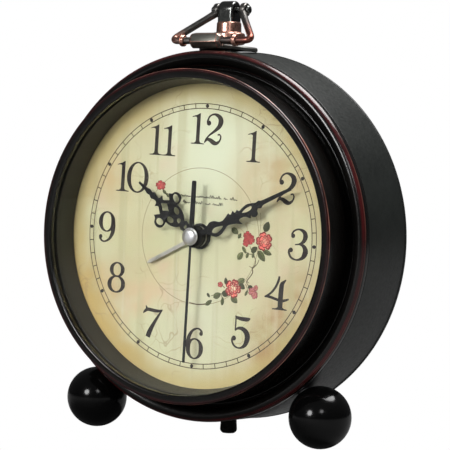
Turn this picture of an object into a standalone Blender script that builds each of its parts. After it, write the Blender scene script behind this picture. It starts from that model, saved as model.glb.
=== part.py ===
"""Round twin-ball-foot quartz alarm clock with a folding bail handle.

Metres, +Z up. The dial faces -Y. The origin is on the floor under the middle of the clock.
Every piece is placed from the dial centre, which an empty marks: x right, y back, z up.
"""
import bpy
import bmesh
from math import asin, cos, pi, radians, sin
from mathutils import Matrix, Vector

MM = 0.001

# ---- driving dimensions ----
GAP = 0.30 * MM              # between pieces that touch
RUNNING_GAP = 0.20 * MM      # radial, between a pipe and what turns in it

DRUM_REAR_R = 63.5 * MM
DRUM_FRONT_R = 62.5 * MM
DRUM_WALL = 0.8 * MM
DRUM_FRONT_Y = 2.3 * MM
DRUM_REAR_Y = 27.8 * MM
REAR_HEM = 1.4 * MM

BEZEL_WALL = 1.0 * MM
RIM_OPENING_R = 52.7 * MM
RIM_OUTER_R = 55.8 * MM
RIM_FRONT_Y = -12.9 * MM
RIM_FACE_DROP = 1.1 * MM     # the inner lip lies this far behind the rim's crest
GROOVE_Y = 3.3 * MM
STEP_FRONT_Y = -1.6 * MM
STEP_OUTER_R = 62.55 * MM
SKIRT_DEPTH = 0.6 * MM       # how far the bezel's spigot pushes into the drum

LENS_THICK = 1.6 * MM
DIAL_THICK = 0.6 * MM
SPACER_WALL = 1.7 * MM
CARRIER_WALL = 1.5 * MM
FLANGE_R = 57.4 * MM

BALL_R = 10.4 * MM
BALL_SPREAD = 44.3 * MM      # each ball's centre from the middle
BALL_Y = 5.95 * MM
BALL_DROP = 57.94 * MM       # ball centre below the dial centre
FOOT_SCREW_R = 1.9 * MM
REAR_FOOT_R = 3.0 * MM
REAR_FOOT_Y = 22.0 * MM

STUD_Y = 15.0 * MM
PIVOT_Z = 77.1 * MM          # bail pivot above the dial centre
BASE_PLATE_R = 10.0 * MM
BASE_PLATE_THICK = 1.9 * MM
STUD_LOWER_R = 5.55 * MM
STUD_UPPER_R = 4.4 * MM
STUD_STEP_Z = 69.3 * MM
STUD_TOP_Z = 73.0 * MM
EYELET_R = 3.1 * MM
EYELET_WIDE = 6.0 * MM
PIN_R = 0.9 * MM
BAIL_ROD_R = 1.2 * MM
BAIL_EYE_X = 5.3 * MM
BAIL_EYE_R = 2.4 * MM
BAIL_EYE_THICK = 2.2 * MM
BAIL_HALF_WIDTH = 16.0 * MM  # to the rod's centre at the bar's ends
BAIL_REACH = 17.16 * MM      # pivot to bar
BAIL_DROOP = 40.7            # degrees below level, folded to the front
BAIL_SHIFT = 0.8 * MM        # the loose bail hangs this far to one side on its pin
BAIL_BEND_R = 3.0 * MM
GRIP_ACROSS_FLATS = 5.0 * MM
GRIP_LENGTH = 12.0 * MM
GRIP_X = -1.6 * MM
COLLAR_R = 2.0 * MM
COLLAR_LENGTH = 1.6 * MM
COLLAR_X = 10.2 * MM

MOVEMENT_SIDE = 56.0 * MM
MOVEMENT_FRONT_Y = 8.4 * MM
MOVEMENT_WALL = 1.4 * MM
MOVEMENT_DEPTH = 16.9 * MM   # housing, without its rear cover
COVER_THICK = 1.6 * MM
BATTERY_R = 7.15 * MM
BATTERY_LENGTH = 50.5 * MM
BATTERY_Z = -18.6 * MM
BAY_WALL_Z = -10.0 * MM
BACK_COVER_THICK = 1.6 * MM
BACK_COVER_Y = 25.0 * MM
EAR_X = 31.5 * MM
EAR_Z = 20.0 * MM
BOSS_RING_R = 50.0 * MM      # back-cover screws stand on this circle
SCREW_R = 1.0 * MM
KNOB_R = 5.5 * MM
KNOB_DEPTH = 6.0 * MM
KNOB_SHAFT_R = 0.8 * MM

# where each layer of the gear train starts and ends, behind the inside of the housing's front
LAYERS = {
    "alarm_wheel": (0.6 * MM, 1.4 * MM),
    "work_pinion": (1.9 * MM, 4.8 * MM),
    "hour_wheel": (2.2 * MM, 3.0 * MM),
    "minute_pinion": (3.4 * MM, 5.0 * MM),
    "time_gear": (3.6 * MM, 4.6 * MM),
    "work_wheel": (3.7 * MM, 4.5 * MM),
    "gear_plate": (5.6 * MM, 6.2 * MM),
    "third_pinion": (6.6 * MM, 8.9 * MM),
    "centre_wheel": (6.8 * MM, 7.6 * MM),
    "rotor_magnet": (7.5 * MM, 10.9 * MM),
    "stator": (8.4 * MM, 9.6 * MM),
    "second_pinion": (8.6 * MM, 10.5 * MM),
    "third_wheel": (8.8 * MM, 9.6 * MM),
    "intermediate_pinion": (10.2 * MM, 12.0 * MM),
    "second_wheel": (10.4 * MM, 11.2 * MM),
    "rotor_pinion": (11.7 * MM, 12.9 * MM),
    "intermediate_wheel": (11.9 * MM, 12.6 * MM),
    "circuit_board": (13.4 * MM, 14.2 * MM),
}
COIL_CORE_Y = 7.5 * MM
WORK_DIRECTION = -15.0       # from the dial centre, degrees up from +X
TIME_DIRECTION = -10.0       # from the minute-work axis
ALARM_DIRECTION = 125.0
THIRD_DIRECTION = 60.0
INTERMEDIATE_DIRECTION = 200.0
ROTOR_DIRECTION = 185.0      # from the intermediate axis

PLATE_POSTS = [(23.5 * MM, -6.6 * MM), (-4.5 * MM, 24.0 * MM), (-19.5 * MM, -6.6 * MM)]
DOOR_HALF = 25.4 * MM
DOOR_Z = (-26.0 * MM, -11.4 * MM)
SWITCH_TRAVEL = 4.0 * MM
SWITCH = (11.0 * MM, 22.0 * MM)
SWITCH_POST = (1.8 * MM, 1.2 * MM)      # half sizes

SECOND_SHAFT_R = 0.5 * MM
PIPE_WALL = 0.6 * MM
ARBOR_R = 0.4 * MM
POST_R = 0.55 * MM           # the minute-work wheel turns on it
WORK_PINION_PHASE = 7.0
DIAL_TWIST = 2.3             # the dial sits turned this far clockwise, degrees
TIME_SHOWN = (10, 10, 30)    # hours, minutes, seconds
ALARM_SHOWN = 8.05           # hours
HAND_THICK = 0.5 * MM
ALARM_HAND_Y = -1.2 * MM
HOUR_HAND_Y = -2.6 * MM
MINUTE_HAND_Y = -4.0 * MM
SECOND_HAND_Y = -5.3 * MM
ALARM_HAND_LENGTH = 22.0 * MM
HOUR_HAND_LENGTH = 28.8 * MM
MINUTE_HAND_LENGTH = 40.6 * MM
SECOND_HAND_LENGTH = 42.5 * MM
SECOND_TAIL_LENGTH = 18.7 * MM
HUB_R = 3.9 * MM
CAP_R = 3.0 * MM

# gears: teeth and modules
WORK_MODULE_MINUTE = 0.3125 * MM
WORK_MODULE_HOUR = 0.300 * MM
ALARM_MODULE = 0.320 * MM
THIRD_MODULE = 0.250 * MM
SECOND_WHEEL_MODULE = 0.360 * MM
ROTOR_MODULE = 0.220 * MM
MINUTE_TEETH, WORK_TEETH, WORK_PINION_TEETH, HOUR_TEETH, TIME_GEAR_TEETH = 12, 36, 10, 40, 24
ALARM_TEETH, ALARM_GEAR_TEETH = 40, 20
PINION_TEETH, THIRD_TEETH, SECOND_TEETH, INTERMEDIATE_TEETH = 8, 60, 40, 48
CENTRE_TEETH = 64

# ---- worked out ----
FLOOR_Z = -(BALL_DROP + BALL_R)
COVER_Y = MOVEMENT_FRONT_Y + MOVEMENT_DEPTH
KNOB_Y = COVER_Y + COVER_THICK + 0.5 * MM
BACK_Y = KNOB_Y + KNOB_DEPTH
DIAL_Y = -(RIM_FRONT_Y + BACK_Y) / 2
INSIDE_Y = MOVEMENT_FRONT_Y + MOVEMENT_WALL     # where the gears start
LENS_Y = RIM_FRONT_Y + RIM_FACE_DROP + BEZEL_WALL + GAP
SPACER_Y = LENS_Y + LENS_THICK + GAP
MINUTE_PIPE = (SECOND_SHAFT_R + RUNNING_GAP, SECOND_SHAFT_R + RUNNING_GAP + PIPE_WALL)
HOUR_PIPE = (MINUTE_PIPE[1] + RUNNING_GAP, MINUTE_PIPE[1] + RUNNING_GAP + PIPE_WALL)
ALARM_PIPE = (HOUR_PIPE[1] + RUNNING_GAP, HOUR_PIPE[1] + RUNNING_GAP + PIPE_WALL)
NECK_BORE_R = ALARM_PIPE[1] + RUNNING_GAP
NECK_R = NECK_BORE_R + 1.0 * MM
NECK_FRONT_Y = -0.4 * MM
EARS = [(sx * EAR_X, sz * EAR_Z) for sx in (-1, 1) for sz in (-1, 1)]
BOSSES = [(BOSS_RING_R * cos(radians(a)), BOSS_RING_R * sin(radians(a))) for a in (90, 210, 330)]
SEAT_R = RIM_OUTER_R - BEZEL_WALL - 2 * GAP     # lens, spacer and dial share one seat

SEGMENTS = 40

for old in list(bpy.data.objects):
    bpy.data.objects.remove(old, do_unlink=True)


# ---- helpers ----
def empty(name, place, parent=None):
    thing = bpy.data.objects.new(name, None)
    thing.location = place
    thing.parent = parent
    bpy.context.collection.objects.link(thing)
    return thing


DIAL_CENTRE = empty("dial_centre", (0, DIAL_Y, -FLOOR_Z))

FINISHES = {
    "lacquer": ((0.012, 0.010, 0.010), 0.25, 0.0),
    "satin_black": ((0.020, 0.022, 0.021), 0.45, 0.2),
    "copper": ((0.45, 0.20, 0.14), 0.25, 1.0),
    "gunmetal": ((0.08, 0.085, 0.085), 0.30, 1.0),
    "glass": ((0.95, 0.97, 0.97), 0.05, 0.0),
    "paper": ((0.64, 0.62, 0.42), 0.60, 0.0),
    "hand_black": ((0.01, 0.01, 0.01), 0.40, 0.0),
    "silver": ((0.62, 0.62, 0.60), 0.30, 1.0),
    "black_plastic": ((0.025, 0.025, 0.026), 0.50, 0.0),
    "white_plastic": ((0.80, 0.80, 0.77), 0.45, 0.0),
    "steel": ((0.55, 0.55, 0.55), 0.35, 1.0),
    "brass": ((0.62, 0.46, 0.18), 0.35, 1.0),
    "board_green": ((0.03, 0.16, 0.07), 0.50, 0.0),
    "wire_red": ((0.45, 0.10, 0.04), 0.40, 0.0),
    "battery_wrap": ((0.10, 0.22, 0.12), 0.35, 0.0),
    "rubber": ((0.02, 0.02, 0.02), 0.80, 0.0),
}


def material_for(name, finish):
    colour, roughness, metallic = FINISHES[finish]
    made = bpy.data.materials.new(name)
    made.use_nodes = True
    shader = made.node_tree.nodes["Principled BSDF"]
    shader.inputs["Base Color"].default_value = (*colour, 1)
    shader.inputs["Roughness"].default_value = roughness
    shader.inputs["Metallic"].default_value = metallic
    return made


def finished(name, bm):
    """A mesh whose faces point out."""
    bmesh.ops.recalc_face_normals(bm, faces=bm.faces)
    if bm.calc_volume(signed=True) < 0:
        bmesh.ops.reverse_faces(bm, faces=bm.faces)
    mesh = bpy.data.meshes.new(name)
    bm.to_mesh(mesh)
    bm.free()
    return mesh


def piece(name, bm, finish, place=(0, 0, 0), parent=None, smooth=True):
    mesh = finished(name, bm)
    if smooth:
        mesh.shade_smooth()
        mesh.set_sharp_from_angle(angle=radians(35))
    made = bpy.data.objects.new(name, mesh)
    made.location = place
    made.parent = parent or DIAL_CENTRE
    bpy.context.collection.objects.link(made)
    mesh.materials.append(material_for(name, finish))
    return made


def turned(outline, steps=SEGMENTS, axis="Y"):
    """A closed (radius, along) outline turned about an axis; radius 0 makes a pole."""
    bm = bmesh.new()
    rows = []
    for radius, along in outline:
        count = 1 if radius == 0 else steps
        row = []
        for i in range(count):
            a = 2 * pi * (i + 0.5) / steps
            u, v = radius * cos(a), radius * sin(a)
            row.append(bm.verts.new({"Y": (u, along, v), "Z": (u, v, along), "X": (along, u, v)}[axis]))
        rows.append(row)
    for k in range(len(rows)):
        one, two = rows[k], rows[(k + 1) % len(rows)]
        if len(one) == 1 and len(two) == 1:
            continue
        for i in range(steps):
            j = (i + 1) % steps
            corners = [one[i % len(one)], one[j % len(one)], two[j % len(two)], two[i % len(two)]]
            bm.faces.new(list(dict.fromkeys(corners)))
    return bm


def disc(radius, low, high, bore=0.0, steps=SEGMENTS, axis="Y"):
    if bore:
        return turned([(bore, low), (radius, low), (radius, high), (bore, high)], steps, axis)
    return turned([(0, low), (radius, low), (radius, high), (0, high)], steps, axis)


def box(low, high):
    bm = bmesh.new()
    bmesh.ops.create_cube(bm, size=1)
    for v in bm.verts:
        v.co = [low[i] + (v.co[i] + 0.5) * (high[i] - low[i]) for i in range(3)]
    return bm


def plate(outline, low, high, hole=()):
    """A flat outline of (x, z) points, thick along y from low to high, with one optional hole outline."""
    bm = bmesh.new()
    loops = []
    for points in (outline, hole):
        if points:
            front = [bm.verts.new((x, low, z)) for x, z in points]
            back = [bm.verts.new((x, high, z)) for x, z in points]
            loops.append((front, back))
    for front, back in loops:
        for i in range(len(front)):
            j = (i + 1) % len(front)
            bm.faces.new((front[i], front[j], back[j], back[i]))
    if hole:
        for side in (0, 1):
            edges = []
            for loop in loops:
                ring = loop[side]
                edges += [bm.edges.get((ring[i], ring[(i + 1) % len(ring)])) for i in range(len(ring))]
            bmesh.ops.triangle_fill(bm, use_beauty=True, edges=edges)
    else:
        bm.faces.new(loops[0][0])
        bm.faces.new(loops[0][1])
        bmesh.ops.triangulate(bm, faces=[f for f in bm.faces if len(f.verts) > 4])
    return bm


def circle(radius, count, x=0.0, z=0.0):
    turns = [2 * pi * i / count for i in range(count)]
    return [(x + radius * cos(a), z + radius * sin(a)) for a in turns]


def tube(points, normals, radius, sides):
    """A round rod along points, with one normal at each point."""
    bm = bmesh.new()
    rows = []
    for i, point in enumerate(points):
        ahead = points[min(i + 1, len(points) - 1)] - points[max(i - 1, 0)]
        across = ahead.normalized().cross(normals[i])
        turn = [2 * pi * (k + 0.5) / sides for k in range(sides)]
        rows.append([bm.verts.new(point + radius * (cos(a) * across + sin(a) * normals[i])) for a in turn])
    for one, two in zip(rows, rows[1:]):
        for k in range(sides):
            bm.faces.new((one[k], one[(k + 1) % sides], two[(k + 1) % sides], two[k]))
    bm.faces.new(rows[0])
    bm.faces.new(rows[-1])
    return bm


def cutter(name, bm, place=(0, 0, 0), parent=None):
    made = bpy.data.objects.new(name, finished(name, bm))
    made.location = place
    made.parent = parent or DIAL_CENTRE
    made.hide_render = True
    made.display_type = "WIRE"
    bpy.context.collection.objects.link(made)
    return made


def cut(target, tool, operation="DIFFERENCE"):
    step = target.modifiers.new(operation.title(), "BOOLEAN")
    step.operation = operation
    step.object = tool
    step.solver = "EXACT"


def along(direction):
    """Rotation that takes +Z to a direction."""
    return Vector((0, 0, 1)).rotation_difference(Vector(direction)).to_euler()


# ---- case ----
def front_bezel():
    back = GROOVE_Y + BEZEL_WALL
    step_in = RIM_OUTER_R + 1.6 * MM
    outline = [
        (RIM_OPENING_R, RIM_FRONT_Y + RIM_FACE_DROP),
        (RIM_OPENING_R + 0.9 * MM, RIM_FRONT_Y + 0.25 * MM),
        (RIM_OPENING_R + 2.1 * MM, RIM_FRONT_Y),
        (RIM_OUTER_R, RIM_FRONT_Y + 0.5 * MM),
        (RIM_OUTER_R - 0.2 * MM, GROOVE_Y - 1.2 * MM),
        (RIM_OUTER_R + 0.1 * MM, GROOVE_Y - 0.3 * MM),
        (RIM_OUTER_R + 0.8 * MM, GROOVE_Y),
        (step_in, 1.3 * MM),
        (step_in + 1.1 * MM, STEP_FRONT_Y + 1.0 * MM),
        (step_in + 2.9 * MM, STEP_FRONT_Y),
        (STEP_OUTER_R - 0.9 * MM, STEP_FRONT_Y + 0.4 * MM),
        (STEP_OUTER_R, STEP_FRONT_Y + 1.5 * MM),
        (STEP_OUTER_R, DRUM_FRONT_Y - GAP),
        (DRUM_FRONT_R - DRUM_WALL - GAP, DRUM_FRONT_Y - GAP),
        (DRUM_FRONT_R - DRUM_WALL - GAP, DRUM_FRONT_Y + SKIRT_DEPTH),
        (DRUM_FRONT_R - DRUM_WALL - GAP - BEZEL_WALL, DRUM_FRONT_Y + SKIRT_DEPTH),
        (DRUM_FRONT_R - DRUM_WALL - GAP - BEZEL_WALL, STEP_FRONT_Y + 1.8 * MM),
        (step_in + 2.6 * MM, STEP_FRONT_Y + BEZEL_WALL),
        (step_in + BEZEL_WALL, 1.9 * MM),
        (step_in + 0.5 * MM, back),
        (SEAT_R + 2 * GAP, back),
        (SEAT_R + 2 * GAP, LENS_Y - GAP),
        (RIM_OPENING_R, LENS_Y - GAP),
    ]
    piece("front_bezel", turned(outline), "lacquer")


def face_stack():
    """Lens, spacer ring and dial sit one behind the other in the bezel's seat."""
    piece("lens", disc(SEAT_R, LENS_Y, LENS_Y + LENS_THICK), "glass")
    piece("dial_spacer", disc(SEAT_R, SPACER_Y, -GAP, bore=SEAT_R - SPACER_WALL), "satin_black")
    piece("dial", disc(SEAT_R, 0, DIAL_THICK, bore=NECK_R + GAP), "paper")


def dial_carrier():
    """Stepped plate behind the dial: posts for the movement and for the back-cover screws."""
    front = DIAL_THICK + GAP
    step = GROOVE_Y + BEZEL_WALL + GAP
    rear = step + CARRIER_WALL
    outline = [
        (NECK_R + GAP, front), (SEAT_R, front), (SEAT_R, step), (FLANGE_R, step), (FLANGE_R, rear),
        (SEAT_R - CARRIER_WALL, rear), (SEAT_R - CARRIER_WALL, front + CARRIER_WALL),
        (NECK_R + GAP, front + CARRIER_WALL),
    ]
    carrier = piece("dial_carrier", turned(outline), "black_plastic")
    for number, (x, z) in enumerate(EARS):
        post = disc(2.8 * MM, front + CARRIER_WALL / 2, MOVEMENT_FRONT_Y - GAP, bore=SCREW_R + GAP, steps=12)
        cut(carrier, cutter(f"ear_post_{number}", post, (x, 0, z)), "UNION")
    for number, (x, z) in enumerate(BOSSES):
        post = disc(3.2 * MM, front + CARRIER_WALL / 2, BACK_COVER_Y - GAP, bore=SCREW_R + GAP, steps=12)
        cut(carrier, cutter(f"back_post_{number}", post, (x, 0, z)), "UNION")


def drum_r(y):
    """Outer radius of the flared drum at a depth."""
    share = (y - DRUM_FRONT_Y) / (DRUM_REAR_Y - DRUM_FRONT_Y)
    return DRUM_FRONT_R + share * (DRUM_REAR_R - 0.2 * MM - DRUM_FRONT_R)


def case_drum():
    hem = DRUM_REAR_Y - REAR_HEM
    outline = [
        (drum_r(DRUM_FRONT_Y), DRUM_FRONT_Y), (drum_r(hem), hem), (DRUM_REAR_R, hem + 0.3 * MM),
        (DRUM_REAR_R, DRUM_REAR_Y - 0.3 * MM), (DRUM_REAR_R - 0.3 * MM, DRUM_REAR_Y),
        (drum_r(DRUM_REAR_Y) - DRUM_WALL, DRUM_REAR_Y), (drum_r(DRUM_FRONT_Y) - DRUM_WALL, DRUM_FRONT_Y),
    ]
    drum = piece("case_drum", turned(outline), "satin_black")
    top = turned([(0, 55 * MM), (SCREW_R + 2 * GAP, 55 * MM), (SCREW_R + 2 * GAP, 70 * MM), (0, 70 * MM)],
                 12, "Z")
    cut(drum, cutter("stud_hole", top, (0, STUD_Y, 0)))
    for side in (-1, 1):
        bore = disc(FOOT_SCREW_R + GAP, 50 * MM, 75 * MM, steps=12, axis="Z")
        hole = cutter(f"foot_hole_{side}", bore, (0, BALL_Y, 0))
        hole.rotation_euler = along((side * BALL_SPREAD, 0, -BALL_DROP))
        cut(drum, hole)
    bore = disc(SCREW_R + GAP, -75 * MM, -50 * MM, steps=12, axis="Z")
    cut(drum, cutter("rear_foot_hole", bore, (0, REAR_FOOT_Y, 0)))


def back_cover():
    inner = drum_r(BACK_COVER_Y) - DRUM_WALL - GAP
    window = MOVEMENT_SIDE / 2 + 2 * GAP
    cover = piece("back_cover", disc(inner, BACK_COVER_Y, BACK_COVER_Y + BACK_COVER_THICK), "black_plastic")
    opening = box((-window, 0, -window), (window, 2 * BACK_COVER_Y, window))
    cut(cover, cutter("movement_window", opening))
    for number, (x, z) in enumerate(BOSSES):
        hole = disc(SCREW_R + GAP, 0, 2 * BACK_COVER_Y, steps=12)
        cut(cover, cutter(f"back_screw_hole_{number}", hole, (x, 0, z)))
        head_y = BACK_COVER_Y + BACK_COVER_THICK + GAP
        screw(f"back_cover_screw_{number + 1}", (x, head_y, z), 2.6 * MM, 9 * MM)


def screw(name, place, head_r, length, head=1.2 * MM, finish="steel"):
    """A pan-head screw whose head stands along +Y from its place, with a shank forward of it."""
    outline = [
        (0, -length), (SCREW_R, -length), (SCREW_R, 0), (head_r, 0), (head_r, 0.6 * head),
        (0.7 * head_r, head), (0, head),
    ]
    return piece(name, turned(outline, 8), finish, place)


# ---- feet ----
def feet():
    clear_r = drum_r(BALL_Y + BALL_R) + GAP
    for side, word in ((-1, "left"), (1, "right")):
        rings = 10
        profile = [(BALL_R * sin(pi * k / rings), -BALL_R * cos(pi * k / rings)) for k in range(rings + 1)]
        profile[0] = (0, -BALL_R)
        profile[-1] = (0, BALL_R)
        centre = Vector((side * BALL_SPREAD, BALL_Y, -BALL_DROP))
        ball = piece(f"foot_ball_{word}", turned(profile, 20, "Z"), "lacquer", centre)
        cut(ball, cutter(f"drum_clearance_{word}", disc(clear_r, -0.03, 0.05)))
        outward = Vector((centre.x, 0, centre.z)).normalized()
        socket = disc(FOOT_SCREW_R + GAP, -BALL_R - 2 * MM, -1.0 * MM, steps=12, axis="Z")
        hole = cutter(f"ball_socket_{word}", socket, centre)
        hole.rotation_euler = along(outward)
        cut(ball, hole)
        inner_r = drum_r(BALL_Y) - DRUM_WALL - GAP - 0.6 * MM
        seat = outward * inner_r + Vector((0, BALL_Y, 0))
        bolt = [
            (0, -2.0 * MM), (2.2 * MM, -2.0 * MM), (2.7 * MM, -1.2 * MM), (2.7 * MM, 0),
            (FOOT_SCREW_R, 0), (FOOT_SCREW_R, 9.2 * MM), (0, 9.2 * MM),
        ]
        made = piece(f"foot_screw_{word}", turned(bolt, 12, "Z"), "steel", seat)
        made.rotation_euler = along(outward)
    top = -(drum_r(REAR_FOOT_Y + REAR_FOOT_R) + GAP)
    foot = [
        (0, FLOOR_Z), (REAR_FOOT_R - 0.5 * MM, FLOOR_Z), (REAR_FOOT_R, FLOOR_Z + 0.5 * MM),
        (REAR_FOOT_R, top), (0, top),
    ]
    rear = piece("rear_foot", turned(foot, 24, "Z"), "rubber", (0, REAR_FOOT_Y, 0))
    bore = disc(SCREW_R + GAP, FLOOR_Z + 1.5 * MM, 0, steps=12, axis="Z")
    cut(rear, cutter("rear_foot_bore", bore, (0, REAR_FOOT_Y, 0)))
    inner = -(drum_r(REAR_FOOT_Y - 3 * MM) - DRUM_WALL - GAP)
    bolt = [
        (0, inner + 1.2 * MM), (2.0 * MM, inner + 1.2 * MM), (2.4 * MM, inner + 0.2 * MM),
        (SCREW_R, inner + 0.2 * MM), (SCREW_R, FLOOR_Z + 1.8 * MM), (0, FLOOR_Z + 1.8 * MM),
    ]
    piece("rear_foot_screw", turned(bolt, 12, "Z"), "steel", (0, REAR_FOOT_Y, 0))


# ---- handle ----
def handle_mount():
    surface = drum_r(STUD_Y)
    base = piece("handle_base_plate",
                 disc(BASE_PLATE_R, 50 * MM, 70 * MM, bore=SCREW_R + GAP, steps=32, axis="Z"),
                 "gunmetal", (0, STUD_Y, 0))
    under = disc(surface + BASE_PLATE_R * 0.04 + GAP, -0.02, 0.05, steps=96)
    cut(base, cutter("base_plate_under", under))
    over = disc(surface + BASE_PLATE_THICK + GAP, -0.02, 0.05, steps=96)
    cut(base, cutter("base_plate_over", over), "INTERSECT")
    foot_z = surface + BASE_PLATE_THICK + 2 * GAP
    stud = piece("handle_stud", turned([
        (0, foot_z), (STUD_LOWER_R, foot_z), (STUD_LOWER_R, STUD_STEP_Z - 0.4 * MM),
        (STUD_LOWER_R - 0.4 * MM, STUD_STEP_Z), (STUD_UPPER_R + 0.1 * MM, STUD_STEP_Z),
        (STUD_UPPER_R - 0.2 * MM, STUD_TOP_Z - 0.4 * MM), (STUD_UPPER_R - 0.6 * MM, STUD_TOP_Z),
        (0, STUD_TOP_Z),
    ], 32, "Z"), "copper", (0, STUD_Y, 0))
    arch = [(EYELET_R * cos(a), PIVOT_Z + EYELET_R * sin(a)) for a in [pi * k / 10 for k in range(11)]]
    arch += [(-EYELET_R, STUD_TOP_Z - 1 * MM), (EYELET_R, STUD_TOP_Z - 1 * MM)]
    bm = plate(arch, -EYELET_WIDE / 2, EYELET_WIDE / 2)
    bmesh.ops.rotate(bm, matrix=Matrix.Rotation(pi / 2, 3, "Z"), verts=bm.verts)
    cut(stud, cutter("eyelet", bm, (0, STUD_Y, 0)), "UNION")
    bore = disc(PIN_R + RUNNING_GAP, -0.01, 0.01, steps=16, axis="X")
    cut(stud, cutter("eyelet_bore", bore, (0, STUD_Y, PIVOT_Z)))
    screw_bore = disc(SCREW_R + GAP, 50 * MM, STUD_STEP_Z, steps=12, axis="Z")
    cut(stud, cutter("stud_screw_bore", screw_bore, (0, STUD_Y, 0)))
    inner = surface - DRUM_WALL - GAP - 0.3 * MM
    bolt = [
        (0, inner - 1.4 * MM), (2.4 * MM, inner - 1.4 * MM), (2.8 * MM, inner), (SCREW_R, inner),
        (SCREW_R, STUD_STEP_Z - 2 * GAP), (0, STUD_STEP_Z - 2 * GAP),
    ]
    piece("handle_screw", turned(bolt, 12, "Z"), "steel", (0, STUD_Y, 0))
    end = BAIL_EYE_X + BAIL_EYE_THICK / 2 + GAP
    head = 0.7 * MM
    piece("handle_pin", turned([
        (0, -end - head), (1.1 * MM, -end - head), (1.5 * MM, -end - 0.3 * MM),
        (1.5 * MM, -end), (PIN_R, -end),
        (PIN_R, end), (1.5 * MM, end), (1.5 * MM, end + 0.3 * MM), (1.1 * MM, end + head), (0, end + head),
    ], 16, "X"), "gunmetal", (BAIL_SHIFT, STUD_Y, PIVOT_Z))


def bail_parts():
    """Modelled hanging forward from the pivot, in a frame that is turned to the folded angle."""
    pivot = empty("bail_pivot", (BAIL_SHIFT, STUD_Y, PIVOT_Z), DIAL_CENTRE)
    pivot.rotation_euler = (radians(BAIL_DROOP), 0, 0)
    start = BAIL_EYE_R * 0.75
    corner_run = BAIL_BEND_R
    wide, narrow = BAIL_HALF_WIDTH, BAIL_EYE_X
    arm = Vector((wide - narrow, -(BAIL_REACH - start), 0))
    arm_way = arm.normalized()
    side = []
    side.append(Vector((narrow, -start, 0)))
    corner = Vector((wide, -BAIL_REACH, 0))
    before = corner - arm_way * corner_run
    after = corner + Vector((-corner_run, 0, 0))
    for k in range(6):
        t = k / 5
        side.append((1 - t) ** 2 * before + 2 * t * (1 - t) * corner + t * t * after)
    mirrored = [Vector((-p.x, p.y, p.z)) for p in reversed(side)]
    route = side + mirrored
    rod = tube(route, [Vector((0, 0, 1))] * len(route), BAIL_ROD_R, 8)
    bail = piece("bail", rod, "gunmetal", parent=pivot)
    for mark in (-1, 1):
        eye = disc(BAIL_EYE_R, -BAIL_EYE_THICK / 2, BAIL_EYE_THICK / 2, steps=16, axis="X")
        cut(bail, cutter(f"bail_eye_{mark}", eye, (mark * BAIL_EYE_X, 0, 0), pivot), "UNION")
    bore = disc(PIN_R + RUNNING_GAP, -0.012, 0.012, steps=16, axis="X")
    cut(bail, cutter("bail_bore", bore, (0, 0, 0), pivot))
    grip_r = GRIP_ACROSS_FLATS / 2 / cos(pi / 6)
    half = GRIP_LENGTH / 2
    chamfer = 0.9 * MM
    bore_r = (BAIL_ROD_R + RUNNING_GAP) / cos(pi / 6)
    piece("bail_grip", turned([
        (bore_r, -half), (grip_r - chamfer, -half), (grip_r, -half + chamfer), (grip_r, half - chamfer),
        (grip_r - chamfer, half), (bore_r, half),
    ], 6, "X"), "gunmetal", (GRIP_X, -BAIL_REACH, 0), pivot, smooth=False)
    for mark, word in ((-1, "left"), (1, "right")):
        half = COLLAR_LENGTH / 2
        ring = [
            (bore_r, -half), (COLLAR_R - 0.3 * MM, -half), (COLLAR_R, -half * 0.4), (COLLAR_R, half * 0.4),
            (COLLAR_R - 0.3 * MM, half), (bore_r, half),
        ]
        piece(f"bail_collar_{word}", turned(ring, 16, "X"), "copper",
              (mark * COLLAR_X + GRIP_X / 2, -BAIL_REACH, 0), pivot)


# ---- gear train geometry ----
def apart(origin, teeth_a, teeth_b, module, direction):
    """The axis of a gear that meshes with one at origin."""
    distance = module * (teeth_a + teeth_b) / 2
    return (origin[0] + distance * cos(radians(direction)), origin[1] + distance * sin(radians(direction)))


def meshing_phase(teeth_a, phase_a, direction, teeth_b):
    """Start angle of gear b, so that its gap meets the tooth that gear a turns towards it."""
    pitch_a, pitch_b = 360 / teeth_a, 360 / teeth_b
    share = ((direction - phase_a) / pitch_a) % 1
    return (direction + 180) - (0.5 - share) * pitch_b


def toothed(teeth, module, low, high, phase=0.0):
    """A toothed wheel with narrow pointed teeth, which leaves room for its partner's."""
    outer = module * (teeth / 2 + 0.8)
    root = module * (teeth / 2 - 1.3)
    points = []
    for k in range(teeth):
        tip = radians(phase + 360 * k / teeth)
        points.append((outer * cos(tip), outer * sin(tip)))
        gap = tip + pi / teeth
        points.append((root * cos(gap), root * sin(gap)))
    return plate(points, low, high)


def layer(name):
    low, high = LAYERS[name]
    return INSIDE_Y + low, INSIDE_Y + high


CENTRE = (0.0, 0.0)
CENTRE_MODULE = THIRD_MODULE * (PINION_TEETH + THIRD_TEETH) / (PINION_TEETH + CENTRE_TEETH)
WORK_AXIS = apart(CENTRE, MINUTE_TEETH, WORK_TEETH, WORK_MODULE_MINUTE, WORK_DIRECTION)
TIME_AXIS = apart(WORK_AXIS, WORK_TEETH, TIME_GEAR_TEETH, WORK_MODULE_MINUTE, TIME_DIRECTION)
ALARM_AXIS = apart(CENTRE, ALARM_TEETH, ALARM_GEAR_TEETH, ALARM_MODULE, ALARM_DIRECTION)
THIRD_AXIS = apart(CENTRE, PINION_TEETH, THIRD_TEETH, THIRD_MODULE, THIRD_DIRECTION)
INTERMEDIATE_AXIS = apart(CENTRE, SECOND_TEETH, PINION_TEETH, SECOND_WHEEL_MODULE, INTERMEDIATE_DIRECTION)
ROTOR_AXIS = apart(INTERMEDIATE_AXIS, INTERMEDIATE_TEETH, PINION_TEETH, ROTOR_MODULE, ROTOR_DIRECTION)
PIVOT_HOLE_R = ARBOR_R + RUNNING_GAP
KNOB_HOLE_R = KNOB_SHAFT_R + RUNNING_GAP


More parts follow.
